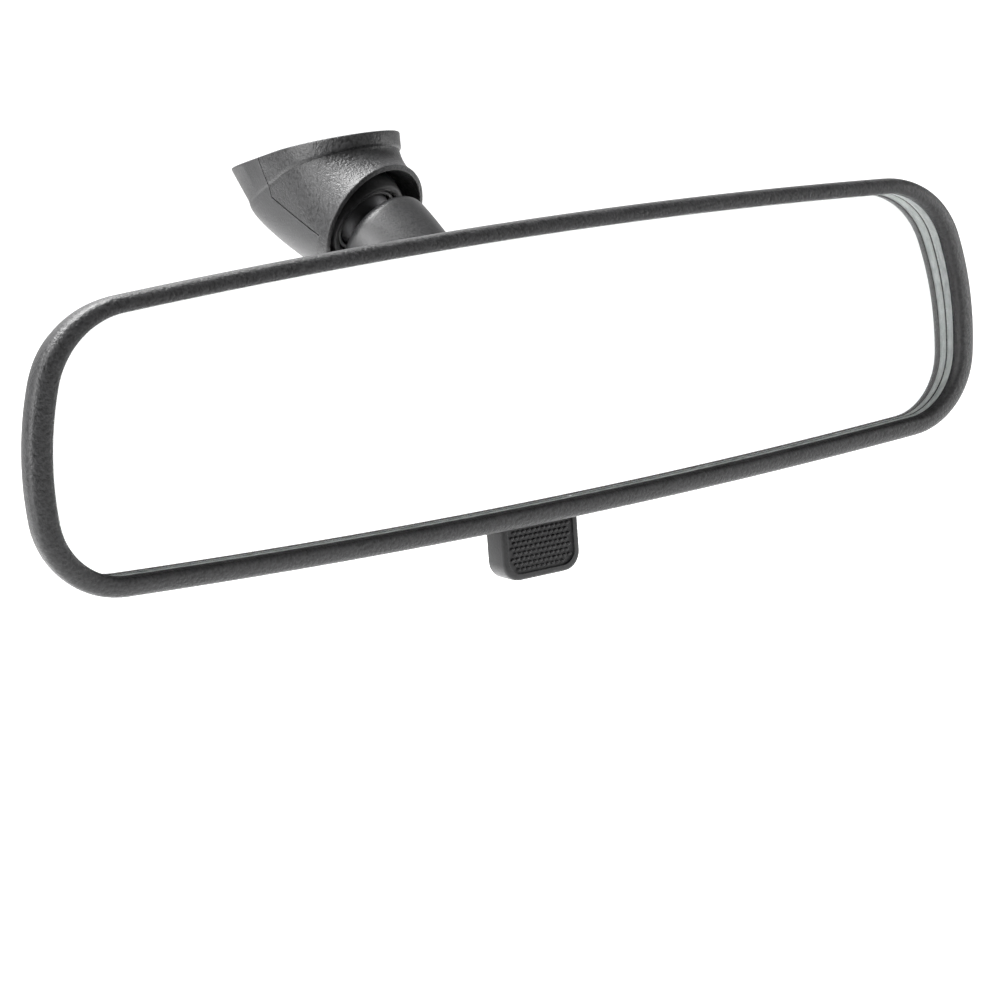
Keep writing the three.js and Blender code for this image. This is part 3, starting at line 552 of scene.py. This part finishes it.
def bezel():
    """The moulded band: a convex front, a crisp outer corner and sides that draw in backwards."""
    lip = smooth([(0.12, 0.1), (0.3, -0.4), (0.7, -0.75), (1.3, -0.93)], 4)
    front = smooth([(1.3, -0.93), (2.5, -0.91), (3.8, -0.62), (4.7, -0.15), (5.15, 0.38)], 4)[1:]
    side = smooth([(5.28, 0.75), (5.37, 1.4), (5.27, 2.4), (5.0, 3.8), (4.4, 5.6)], 4)
    back = [(0.62, BAND_BACK - 0.25), (0.4, BAND_BACK), (-1.3, BAND_BACK)]
    pocket = [(2.3, 7.4), (2.3, 1.5), (0.15, 1.5), (0, 1.35), (0, 0.35)]
    profile = lip + front + side + back + pocket
    ring = skin("bezel_band", [rim(o, y, 1, BAND_SHARE) for o, y in profile], closed=True)
    gap_half = TAB["half"] + 1
    lever_gap = box("gap", (TAB["mid"] - gap_half, TAB["mid"] + gap_half), (5.3, 20), (-40, -20))
    open_rear = box("rear", (-NOTCH["half"], NOTCH["half"]), (12, 20), (-40, -20))
    cut(ring, lever_gap, open_rear)
    finish(ring, HEAD, "head", "bezel_frame", BEZEL, 40)


WEDGE = (GLASS["thick"] - GLASS["thin"]) / (RIM["top"] + RIM["bottom"])


def glass_back(_, z):
    return GLASS["front"] + GLASS["thin"] + (z + RIM["bottom"]) * WEDGE


def behind_glass(extra):
    return lambda x, z: glass_back(x, z) + extra


def glass():
    """The wedge of glass with a ground edge and a small arris at the front and back."""
    edge, arris = GLASS["edge"], 0.25
    loops = [
        rim(edge - arris, GLASS["front"]),
        rim(edge, GLASS["front"] + arris),
        rim(edge, behind_glass(-arris)),
        rim(edge - arris, glass_back),
    ]
    body = skin("mirror_glass", loops)
    finish(body, HEAD, "head", "prism_glass", POLISHED, 20)
    body.data.materials.append(GROUND)
    for face in body.data.polygons:
        face.material_index = 1 if len(face.vertices) == 4 else 0
        face.use_smooth = len(face.vertices) == 4


def silver():
    inner = GLASS["edge"] - 0.25
    loops = [rim(inner, behind_glass(e)) for e in (GAP, GAP + GLASS["silver"])]
    sheet = skin("silver_layer", loops)
    finish(sheet, HEAD, "head", "silver_backing", SILVER, 20)


def foam_pads():
    front = 2 * GAP + GLASS["silver"]
    for side, word in ((-1, "left"), (1, "right")):
        x0, x1 = side * 76 - 4.5, side * 76 + 4.5
        mid = glass_back(0, 0) + front
        pad = box(f"foam_pad_{word}", (x0, x1), (mid, mid + 1.2), (-18, 18))
        round_edges(pad, 0.3)
        tilt = Matrix.Translation((0, mid, 0)) @ Matrix.Rotation(-math.atan(WEDGE), 4, "X")
        pad.data.transform(tilt @ Matrix.Translation((0, -mid, 0)))
        finish(pad, HEAD, "head", f"glass_pad_{word}", FOAM)


def dome(scale):
    return CASE_BACK - (CASE_BACK - BAND_BACK - 2 * GAP) * scale**DOME_POWER


def pin_walls(name, x, y, z, hole):
    """A pair of walls across the case, each with a hole (y, z, radius) for a pin."""
    walls = []
    for side in (-1, 1):
        span = sorted(side * value for value in x)
        wall = box(name, span, y, z)
        bore = [(0, -1), (hole[2], -1), (hole[2], 60), (0, 60)]
        pin = lathe("pin", bore, (0, hole[0], hole[1]), (side, 0, 0), 24)
        walls.append(cut(wall, pin))
    return walls


def rear_case():
    wall = 2.1
    steps = [1, 0.995, 0.98, *np.linspace(0.955, 0.08, 22), 0.02]
    edge = [rim(CASE_OFFSET - 0.15, 13.3), rim(CASE_OFFSET, 13.42), rim(CASE_OFFSET, 13.5)]
    outer = skin("domed_case", [*edge, *(rim(CASE_OFFSET, dome(s), s) for s in steps)])
    inner_steps = [1, 0.97, 0.9, 0.8, 0.65, 0.45, 0.2, 0.05]
    inner = skin("inner", [rim(-3, 5), *(rim(-3, dome(s) - wall, s) for s in inner_steps)])
    cut(outer, inner)
    notch = box("notch", (-NOTCH["half"], NOTCH["half"]), (9, 40), (-50, NOTCH["z"]))
    cut(outer, notch)
    walls = pin_walls("boss", (9.8, 12.6), (7.9, 20), (-25.4, -16.5), (PIVOT["y"], PIVOT["z"], PIVOT["hole"]))
    limit = skin("limit", [rim(-1.9, 5), *(rim(-1, dome(s) - 0.6, s) for s in inner_steps)])
    for boss in walls:
        trim = limit.copy()
        trim.data = limit.data.copy()
        bpy.context.scene.collection.objects.link(trim)
        combine(boss, "INTERSECT", trim)
    remove(limit)
    add(outer, *walls)
    r, flare = RECESS["r"], 0.7
    at = dome(0.28)
    rim_depth = at - CASE_BACK
    hole = [(0, -14), (r, -14), (r, rim_depth + 0.7)]
    for a in np.linspace(0.1, 1.35, 6):
        hole.append((r + flare - flare * math.cos(a), rim_depth + flare * math.sin(a)))
    hole += [(r + flare, rim_depth + 2.6), (0, rim_depth + 2.6)]
    middle = (0, CASE_BACK, RECESS["z"])
    recess = lathe("recess", hole, middle, (0, 1, 0), 128)
    ring = [(15.45, -0.62), (15.75, -0.62), (15.95, 3), (15.25, 3)]
    groove = lathe("groove", ring, middle, (0, 1, 0), 128)
    cut(outer, recess, groove)
    finish(outer, HEAD, "head", "rear_case", CASE, 30)


# ---------------------------------------------------------------- ball joints and arm

def open_shell(name, radii, mouth, end, centre, axis, lip):
    """Part of a hollow sphere, open at both poles, with its mouth rounded by lip."""
    inner, outer = radii
    mid, half = (inner + outer) / 2, (outer - inner) / 2
    rounding = min(half, lip)
    start = mouth + math.degrees(rounding / mid)
    profile = arc(outer, start, end, 28)
    profile += arc(inner, end, start, 28)
    for a in np.linspace(0.25, math.pi - 0.25, 7):
        radius = inner + (1 - math.cos(a)) * half
        angle = math.radians(mouth + (1 - math.sin(a)) * (start - mouth))
        profile.append((radius * math.sin(angle), radius * math.cos(angle)))
    return lathe(name, profile, centre, axis)


def lower_socket():
    axis = (0, math.cos(CUP_TILT), math.sin(CUP_TILT))
    front = 10.3
    shell = open_shell("socket_shell", CUP, MOUTH_ANGLE["lower"], 150, LOWER_BALL, axis, 0.6)
    flange_profile = [(10.0, 12.8), (13.2, 12.8), (13.4, 13.0), (13.4, 13.6), (13.2, 13.8), (10.0, 13.8)]
    flange = lathe("flange", flange_profile, (0, 0, LOWER_BALL.z), (0, 1, 0))
    add(shell, flange)
    cut(shell, box("front", (-30, 30), (-5, front), (-30, 40)))
    finish(shell, HEAD, "socket", "socket_cup", SOCKET, 30)
    liner = open_shell("ball_liner_lower", LINER, MOUTH_ANGLE["lower"] - 3, 150, LOWER_BALL, axis, 0.4)
    cut(liner, box("front", (-30, 30), (-5, front + 0.1), (-30, 40)))
    finish(liner, HEAD, "lower_liner", "lower_ball_liner", LINER_NYLON_PAINTED_SHADE, 30)


def stud(name, lower):
    """A ball on a straight neck, with a thinner tip that the sleeve holds."""
    neck_angle = math.degrees(math.asin(NECK_R / BALL_R))
    length = 13 if lower else 8.1
    tip = length + 12
    profile = [(0, -BALL_R), *arc(BALL_R, 178, neck_angle + 3, 30)]
    profile += [(NECK_R + 0.05, 6.5), (NECK_R, 6.9), (NECK_R, length)]
    profile += [(3, length), (3, tip - 0.6), (2.4, tip), (0, tip)]
    axis = (0, 0, 1) if lower else (0, 0, -1)
    body = lathe(name, profile, (0, 0, 0 if lower else ARM_LENGTH), axis, 64)
    node = "lower_ball_stud" if lower else "upper_ball_stud"
    # The studs take the steel painted near black as shade.
    finish(body, ARM, "arm", node, STUD_STEEL_PAINTED_SHADE, 35)


def sleeve():
    """The tapered arm: a rounded lower end, a long swelling and a domed shoulder at the upper ball."""
    top = ARM_LENGTH - 7.4
    end = [(5.6, 12.4), (6.3, 12.65), (6.85, 13.3), (7.6, 14.8)]
    swell = [(8.2, 16.5), (8.7, 19), (9.2, 22), (9.9, 26.2), (10.4, 30), (10.9, 34)]
    domed = [(11.25, 11.4), (11.12, 9.95), (10.5, 8.95), (9.3, 8.2), (7.9, 7.7), (6.4, 7.4)]
    outside = smooth([*end, *swell, *((r, ARM_LENGTH - back) for r, back in domed)], 4)
    bore = [(4.5, top), (4.3, top - 0.2), (4.3, ARM_LENGTH - 8.4), (3.3, ARM_LENGTH - 8.4)]
    profile = [(3.3, 13.3), (4.6, 13.3), (4.6, 12.55), (4.75, 12.4), *outside, *bore]
    body = lathe("arm_cover", profile, (0, 0, 0), (0, 0, 1), 128)
    finish(body, ARM, "arm", "arm_sleeve", SLEEVE, 40)


# ---------------------------------------------------------------- toggle lever

def rib_bar(name, y, z, half, radius, wave):
    """One rib across the tab at depth y: a round bar, half sunk, that ripples along its length."""
    loops = []
    steps = 60
    for i in range(steps + 1):
        x = TAB["mid"] - half + 2 * half * i / steps
        centre = z + wave * math.sin(2 * math.pi * x / 3.4)
        size = radius * (0.6 if i in (0, steps) else 1)
        angles = np.linspace(0, 2 * math.pi, 8, endpoint=False)
        loops.append([(x, y + size * math.cos(a) * 0.8, centre + size * math.sin(a)) for a in angles])
    return skin(name, loops)


def knurl_row(name, y, z, half, pitch, shift):
    """A row of low oblong pips across the tab's front."""
    side_view = [(0, 0.5), (0.3, 0.42), (0.46, 0.2), (0.5, -0.1), (0, -0.1)]
    pips = []
    count = int(2 * half / pitch)
    for k in range(count):
        x = TAB["mid"] + (k - (count - 1) / 2) * pitch + shift
        pip = lathe(name, side_view, (0, 0, 0), (0, -1, 0), 12)
        pip.data.transform(Matrix.Translation((x, y, z)) @ Matrix.Diagonal((1.12, 1, 0.86, 1)))
        pips.append(pip)
    return merged(pips)


def merged(objects):
    """One object from several that don't touch."""
    work = bmesh.new()
    for obj in objects:
        work.from_mesh(obj.data)
        remove(obj)
    mesh = bpy.data.meshes.new("merged")
    work.to_mesh(mesh)
    work.free()
    whole = bpy.data.objects.new("merged", mesh)
    bpy.context.scene.collection.objects.link(whole)
    return whole


def tab_outline(inset):
    half, corner = TAB["half"] - inset, TAB["corner"] - 0.7 * inset
    bottom, top = TAB["bottom"] + inset, TAB["top"] - inset * 1.1
    mid = TAB["mid"]
    points = [(mid - half, top)]
    for x, start in ((mid - half + corner, 180), (mid + half - corner, 270)):
        for k in range(9):
            angle = math.radians(start + 90 * k / 8)
            points.append((x + corner * math.cos(angle), bottom + corner + corner * math.sin(angle)))
    points.append((mid + half, top))
    return points


def lever():
    body = prism("lever_tab", tab_outline(0), "Y", TAB["front"], TAB["back"])
    round_edges(body, 0.7, 4, 40)
    pocket_front = prism("pocket", tab_outline(1.5), "Y", TAB["front"] - 1, TAB["front"] + 0.5)
    pocket_back = prism("pocket", tab_outline(1.4), "Y", TAB["back"] - 0.5, TAB["back"] + 1)
    cut(body, pocket_front, pocket_back)
    low, high = TAB["bottom"] + 2.5, TAB["top"] - 2.4
    rows = np.linspace(low, high, 9)
    pitch = 1.3
    front = []
    for i, z in enumerate(rows):
        half = TAB["half"] - (3.1 if i == 0 else 1.9)
        shift = pitch / 2 * (i % 2) - pitch / 4
        front.append(knurl_row("pip", TAB["front"] + 0.5, z, half, pitch, shift))
    back = [rib_bar("rib", TAB["back"] - 0.5, z, 7.2, 0.36, 0.22) for z in rows]
    add(body, merged(back))
    y, z = PIVOT["y"], PIVOT["z"]
    hub_side = [(0, 0), (2.9, 0), (PIVOT["hub"], 0.3), (PIVOT["hub"], 12.9), (2.9, 13.2), (0, 13.2)]
    hub = lathe("hub", hub_side, (-9.2, y, z), (1, 0, 0), 48)
    stem = box("stem", (-9.0, 4.0), (y - 2.4, y + 2.4), (TAB["top"] - 0.5, z))
    wing = box("wing", (3.0, 9.2), (y - 2.4, y + 2.1), (TAB["top"] - 0.5, z - 3.9))
    finger_side = [(0, 0), (0.9, 0), (1.1, 0.2), (1.1, 7.8), (0.9, 8), (0, 8)]
    finger = lathe("finger", finger_side, (-4, *FINGER), (1, 0, 0), 32)
    reach = Vector((0, FINGER[0] - y, FINGER[1] - z))
    web = box("web", (-4, 4), (0, reach.length), (-1.1, 1.1))
    slope = Matrix.Rotation(math.atan2(reach.z, reach.y), 4, "X")
    web.data.transform(Matrix.Translation((0, y, z)) @ slope)
    add(body, hub, stem, wing, finger, web)
    bore = [(0, 0), (PIVOT["hole"], 0), (PIVOT["hole"], 40), (0, 40)]
    cut(body, lathe("pin", bore, (-20, y, z), (1, 0, 0), 32))
    finish(body, HEAD, "lever", "toggle_lever", LEVER, 32)
    finish(merged(front), HEAD, "lever", "toggle_lever", LEVER, 32)


# ---------------------------------------------------------------- windscreen bracket

BALL = TO_BRACKET @ (UPPER_BALL - SEAT)
SOCKET_AXIS = TO_BRACKET @ (-ARM_AXIS)
NORMAL = Matrix.Rotation(-MOUTH["tilt"], 3, "X") @ SOCKET_AXIS
ACROSS = (Vector((1, 0, 0)) - NORMAL * NORMAL.x).normalized()
UP = NORMAL.cross(ACROSS)
ROUND = 112  # points round the bracket's sections


def section(place):
    return [place(2 * math.pi * i / ROUND) for i in range(ROUND)]


def plan(angle, inset):
    """Plan of the bracket: half round at the near end, square at the far end."""
    c, s = math.cos(angle), math.sin(angle)
    half, near, far, square = (BRACKET[k] for k in ("half", "near", "far", "square"))
    if s > -1e-9:
        return (half - inset) * c, near - (half - inset) * s

    def power(value):
        return math.copysign(abs(value) ** (2 / square), value)

    return (half - inset) * power(c), near - (far - inset) * power(s)


def farness(v):
    return max(0, (v + 22.6) / 42) ** 1.2


def shoulder(v):
    return 1.6 - 6.8 * farness(v)


def mouth_loop(radius, outwards):
    centre = BALL + NORMAL * (MOUTH["ahead"] + outwards)
    return section(lambda a: centre + ACROSS * (radius * math.cos(a)) + UP * (radius * math.sin(a)))


def bracket_body(name, inset, rim_inset, over, top, roof=math.inf, lip=0.0):
    """From the round mouth up to a flat top, shrunk by an inset, with a rounded lip at both ends."""
    start = mouth_loop(MOUTH["r"] - rim_inset, over)

    def wall_foot(angle, step, up):
        far = farness(plan(angle, inset)[1])
        u, v = plan(angle, inset + BRACKET["lean"] * far + step * (1 - far))
        return Vector((u, v, min(shoulder(v) + up, roof + up / 2)))

    end = section(lambda a: wall_foot(a, 0.6, 0))
    loops = []
    if lip:
        for k in (0, 1, 2):
            turn = math.radians(30 * k)
            radius = MOUTH["r"] - lip * (1 - math.sin(turn))
            loops.append(mouth_loop(radius, over + lip * (math.cos(turn) - 1)))
        loops.append(mouth_loop(MOUTH["r"], over - lip))
    else:
        loops.append(start)
    steps = 24
    for k in range(1, steps + 1):
        t = k / steps
        h00, h10 = 2 * t**3 - 3 * t**2 + 1, t**3 - 2 * t**2 + t
        h01, h11 = 3 * t**2 - 2 * t**3, t**3 - t**2
        if lip and t < 0.08:
            continue
        loop = []
        for i, origin in enumerate(start):
            low = (1 - math.sin(2 * math.pi * i / ROUND)) / 2
            leave = NORMAL * -9 + Vector((0, 9 * low, -3 * low))
            arrive = Vector((0, 0, 5 + 8 * low))
            loop.append(origin * h00 + leave * h10 + end[i] * h01 + arrive * h11)
        loops.append(loop)

    def at(extra, height):
        return section(lambda a: Vector((*plan(a, inset + extra), height)))

    for more, up in ((0.3, 0.25), (0.05, 0.55), (0.02, 0.85)):
        loops.append(section(lambda a: wall_foot(a, more, up)))
    if lip:
        loops += [at(0.05, top - 0.45), at(0.15, top - 0.14), at(0.45, top)]
    else:
        loops.append(at(0, top))
    return skin(name, loops)


def cover_zone(grow):
    near_v, near_w = SEAM["near"]
    outline = [(SEAM["v"] - grow, 20), (SEAM["v"] - grow, SEAM["w"] + grow), (near_v - grow, near_w + grow),
               (near_v + 21 - grow, near_w - 20 - grow), (50, -45), (50, 20)]
    return prism("zone", outline, "X", -30, 30)


def far_notch():
    return box("far", (-CHANNEL["lip"], CHANNEL["lip"]), (14, 40), (-1.5, 20))


def clip_slot():
    """The slot for the spring tongue and the shallow pocket at its root."""
    slot = box("slot", (-6.2, 6.2), (4.5, 40), (-4.6, 3))
    pocket = box("pocket", (-6.2, 6.2), (2.9, 4.8), (-0.9, 3))
    return add(slot, pocket)


def seat_hole(side):
    profile = [(0, 0.5), (3.5, 0.5), (1.5, -1.5), (1.5, -10), (0, -10)]
    return lathe("hole", profile, (7 * side, -5.5, 0), (0, 0, 1), 48)


def channel():
    """What is cut from above for the button: undercut grooves, the rounded mouth and small slots."""
    half, lip, under, near = (CHANNEL[k] for k in ("half", "lip", "under", "near"))
    centre = CHANNEL["round_at"]
    outline = [(-lip, 40), (lip, 40)]
    outline += [(lip * math.cos(a), centre - lip * math.sin(a)) for a in np.linspace(0, math.pi, 40)]
    mouth = prism("mouth", outline, "Z", 0, 20)
    groove = box("groove", (-half, half), (near, 40), (0, under))
    slots = []
    for side in (-1, 1):
        x = sorted((side * 12.6, side * 13.6))
        slots.append(box("rail_slot", x, (-9, -2), (under + 0.6, 20)))
    return [mouth, groove, *slots]


def mount():
    body = bracket_body("mount_shell", 0, 0, 0, BRACKET["top"], lip=0.4)
    zone = cover_zone(GAP)
    inside = bracket_body("inside", SKIN + GAP, SKIN + GAP, 3, 20)
    cut(zone, inside)
    hollow = bracket_body("hollow", SKIN + GAP + 1.6, 1.0, 1, -FLOOR, -3)
    ball_space = lathe("ball_space", [(0, -11.2), *arc(11.2, 176, 4, 30), (0, 11.2)], BALL, NORMAL, 64)
    combine(ball_space, "INTERSECT", box("under", (-30, 30), (-60, 60), (-60, -FLOOR)))
    cut(body, zone, hollow, ball_space, *channel(), far_notch(), clip_slot(), seat_hole(-1), seat_hole(1))
    finish(body, BRACKET_FRAME, "mount", "mount_body", MOUNT, 32)


def cover():
    shell = bracket_body("mount_cover_shell", 0, 0, 0, BRACKET["top"], lip=0.4)
    inside = bracket_body("inside", SKIN, SKIN, 3, 20)
    cut(shell, inside)
    combine(shell, "INTERSECT", cover_zone(0))
    cut(shell, far_notch(), clip_slot())
    finish(shell, BRACKET_FRAME, "mount", "mount_cover", COVER, 32)


def upper_socket():
    shell = open_shell("upper_liner_shell", LINER, MOUTH_ANGLE["upper"], 150, BALL, SOCKET_AXIS, 0.4)
    finish(shell, BRACKET_FRAME, "upper_liner", "upper_ball_liner", LINER_NYLON_PAINTED_SHADE, 30)
    cup = open_shell("upper_seat_cup", CUP, MOUTH_ANGLE["upper"], 150, BALL, SOCKET_AXIS, 0.6)
    flange = box("flange", (-10.4, 10.4), (-11.4, 1), (-FLOOR - GAP - 2.6, -FLOOR - GAP))
    round_edges(flange, 0.6, 3)
    space = lathe("space", [(0, -9.9), *arc(9.9, 176, 4, 24), (0, 9.9)], BALL, NORMAL, 64)
    cut(flange, space)
    add(cup, flange)
    above = box("above", (-30, 30), (-60, 40), (-FLOOR - GAP, 20))
    cut(cup, above, seat_hole(-1), seat_hole(1))
    finish(cup, BRACKET_FRAME, "mount", "upper_socket_seat", INNER, 32)


def clip():
    """The spring tongue, with its latch bump and the hook that hangs over the far wall."""
    above = [(4.8, 0.9), (13.2, 1.2), (14.2, 2.2), (16.0, 2.2), (16.6, 1.4), (21.6, 1.6), (22.4, 1.0)]
    below = [(22.4, -4.4), (21.2, -4.6), (21.2, 0.2), (4.8, -0.1)]
    tongue = prism("latch_tongue", above + below, "X", -5, 5)
    round_edges(tongue, 0.3, 3, 20)
    finish(tongue, BRACKET_FRAME, "clip", "spring_clip", GLOSS, 32)
    anchor = box("latch_anchor", (-5.6, 5.6), (3.2, 4.2), (-0.6, 2.2))
    round_edges(anchor, 0.2, 3)
    finish(anchor, BRACKET_FRAME, "mount", "clip_anchor", INNER, 32)


# ---------------------------------------------------------------- nodes kept as they are

KEPT = {
    "hinge_pin_left": STEEL,
    "hinge_pin_right": STEEL,
    "lever_pivot_pin": STEEL,
    "toggle_spring": SPRING,
    "toggle_plate": INNER,
    "socket_retainer": INNER,
    "retainer_screw_left": STEEL,
    "retainer_screw_right": STEEL,
    "socket_clamp_ring": SPRING,
    "seat_screw_left": STEEL,
    "seat_screw_right": STEEL,
}


def dress_nodes():
    for name, material in KEPT.items():
        mesh = NODES[name].data
        mesh.materials.clear()
        mesh.materials.append(material)


# ---------------------------------------------------------------- studio

def aim(obj, target):
    obj.rotation_euler = (Vector(target) - obj.location).to_track_quat("-Z", "Y").to_euler()


def camera():
    """At the fitted viewing place, with no shift and no depth of field."""
    data = bpy.data.cameras.new("camera")
    data.lens = LENS
    data.clip_end = 50
    view = bpy.data.objects.new("camera", data)
    place, axes = fitted_view()
    view.matrix_world = Matrix.Translation(place) @ axes.to_4x4()
    bpy.context.scene.collection.objects.link(view)
    bpy.context.scene.camera = view


def fitted_view():
    """The camera's place and its axes, from the rotation vector and offset of the fitted pinhole."""
    turn, shift = Vector((0.1682, -0.5827, -0.1278)), Vector((9.34, -27.3761, 734.543))
    spin = Matrix.Rotation(turn.length, 3, turn.normalized())
    base = Matrix(((1, 0, 0), (0, 0, -1), (0, 1, 0)))
    world_to_view = spin @ base
    place = -(world_to_view.transposed() @ shift) - SEAT
    x, y, z = world_to_view[0], -world_to_view[1], -world_to_view[2]
    axes = Matrix((x, y, z)).transposed()
    return place * MM, axes


def area_light(name, place, target, size, power, size_y=None):
    data = bpy.data.lights.new(name, "AREA")
    data.shape = "RECTANGLE"
    data.size = size
    data.size_y = size_y or size
    data.energy = power
    lamp = bpy.data.objects.new(name, data)
    lamp.location = place
    bpy.context.scene.collection.objects.link(lamp)
    aim(lamp, target)
    return lamp


def directional(tree, direction, towards, low, high):
    """0 to 1 as a world direction turns towards another; low and high are cosines."""
    dot = tree.nodes.new("ShaderNodeVectorMath")
    dot.operation = "DOT_PRODUCT"
    tree.links.new(direction, dot.inputs[0])
    dot.inputs[1].default_value = towards
    ramp = tree.nodes.new("ShaderNodeMapRange")
    ramp.interpolation_type = "SMOOTHSTEP"
    ramp.inputs["From Min"].default_value = low
    ramp.inputs["From Max"].default_value = high
    tree.links.new(dot.outputs["Value"], ramp.inputs["Value"])
    return ramp.outputs["Result"]


def surroundings():
    """A white backdrop behind the mirror, a white card where its glass looks, and a dim room
    elsewhere. The room itself is seen as plain white."""
    _, axes = fitted_view()
    ahead = -Vector(axes.col[2])
    seen_in_glass = Vector((ahead.x, -ahead.y, ahead.z + 2 * GLASS_INDEX * WEDGE)).normalized()
    world = bpy.data.worlds.new("studio")
    world.use_nodes = True
    tree = world.node_tree
    direction = tree.nodes.new("ShaderNodeTexCoord").outputs["Generated"]
    backdrop = directional(tree, direction, ahead, 0.55, 0.8)
    card = directional(tree, direction, seen_in_glass, 0.92, 0.955)
    above = directional(tree, direction, (-0.25, 0.3, 0.92), 0.2, 0.95)
    strength = add_values(tree, backdrop, card, 1.0)
    dim = tree.nodes.new("ShaderNodeMath")
    dim.operation = "MULTIPLY_ADD"
    tree.links.new(above, dim.inputs[0])
    dim.inputs[1].default_value = 0.85
    dim.inputs[2].default_value = 0.12
    total = add_values(tree, dim.outputs[0], strength, 1.0)
    limit = tree.nodes.new("ShaderNodeMath")
    limit.operation = "MINIMUM"
    tree.links.new(total, limit.inputs[0])
    limit.inputs[1].default_value = 1.15
    plain = tree.nodes.new("ShaderNodeMath")
    plain.operation = "MAXIMUM"
    tree.links.new(limit.outputs[0], plain.inputs[0])
    tree.links.new(tree.nodes.new("ShaderNodeLightPath").outputs["Is Camera Ray"], plain.inputs[1])
    background = tree.nodes["Background"]
    background.inputs["Color"].default_value = (1, 1, 1, 1)
    tree.links.new(plain.outputs[0], background.inputs["Strength"])
    bpy.context.scene.world = world


def studio():
    low, high = (Vector(corner) for corner in CAD_BOX)
    middle = (low + high) / 2
    depth = low.z - FLOOR_DROP
    square = ((-1, -1), (1, -1), (1, 1), (-1, 1))
    corners = [(x * FLOOR_REACH, y * FLOOR_REACH, depth) for x, y in square]
    floor = new_object("floor", corners, [(0, 1, 2, 3)])
    paper, _, bsdf = shader("floor_paper")
    bsdf.inputs["Base Color"].default_value = (0.86, 0.86, 0.86, 1)
    bsdf.inputs["Roughness"].default_value = 0.9
    bsdf.inputs["Emission Color"].default_value = (1, 1, 1, 1)
    bsdf.inputs["Emission Strength"].default_value = 0.6
    floor.data.materials.append(paper)
    surroundings()
    area_light("overhead", middle + Vector((-0.2, 0.25, 0.75)), middle, 0.9, 42, 0.35)
    area_light("left", middle + Vector((-1.0, -0.1, 0.25)), middle, 0.5, 20)
    area_light("right", middle + Vector((1.0, -0.35, 0.1)), middle, 0.3, 7, 0.5)
    bpy.context.scene.view_settings.view_transform = "Standard"


# ---------------------------------------------------------------- assembly

camera()
bezel()
glass()
silver()
foam_pads()
rear_case()
lower_socket()
stud("ball_stud_lower", True)
stud("ball_stud_upper", False)
sleeve()
lever()
mount()
cover()
upper_socket()
clip()
dress_nodes()
studio()
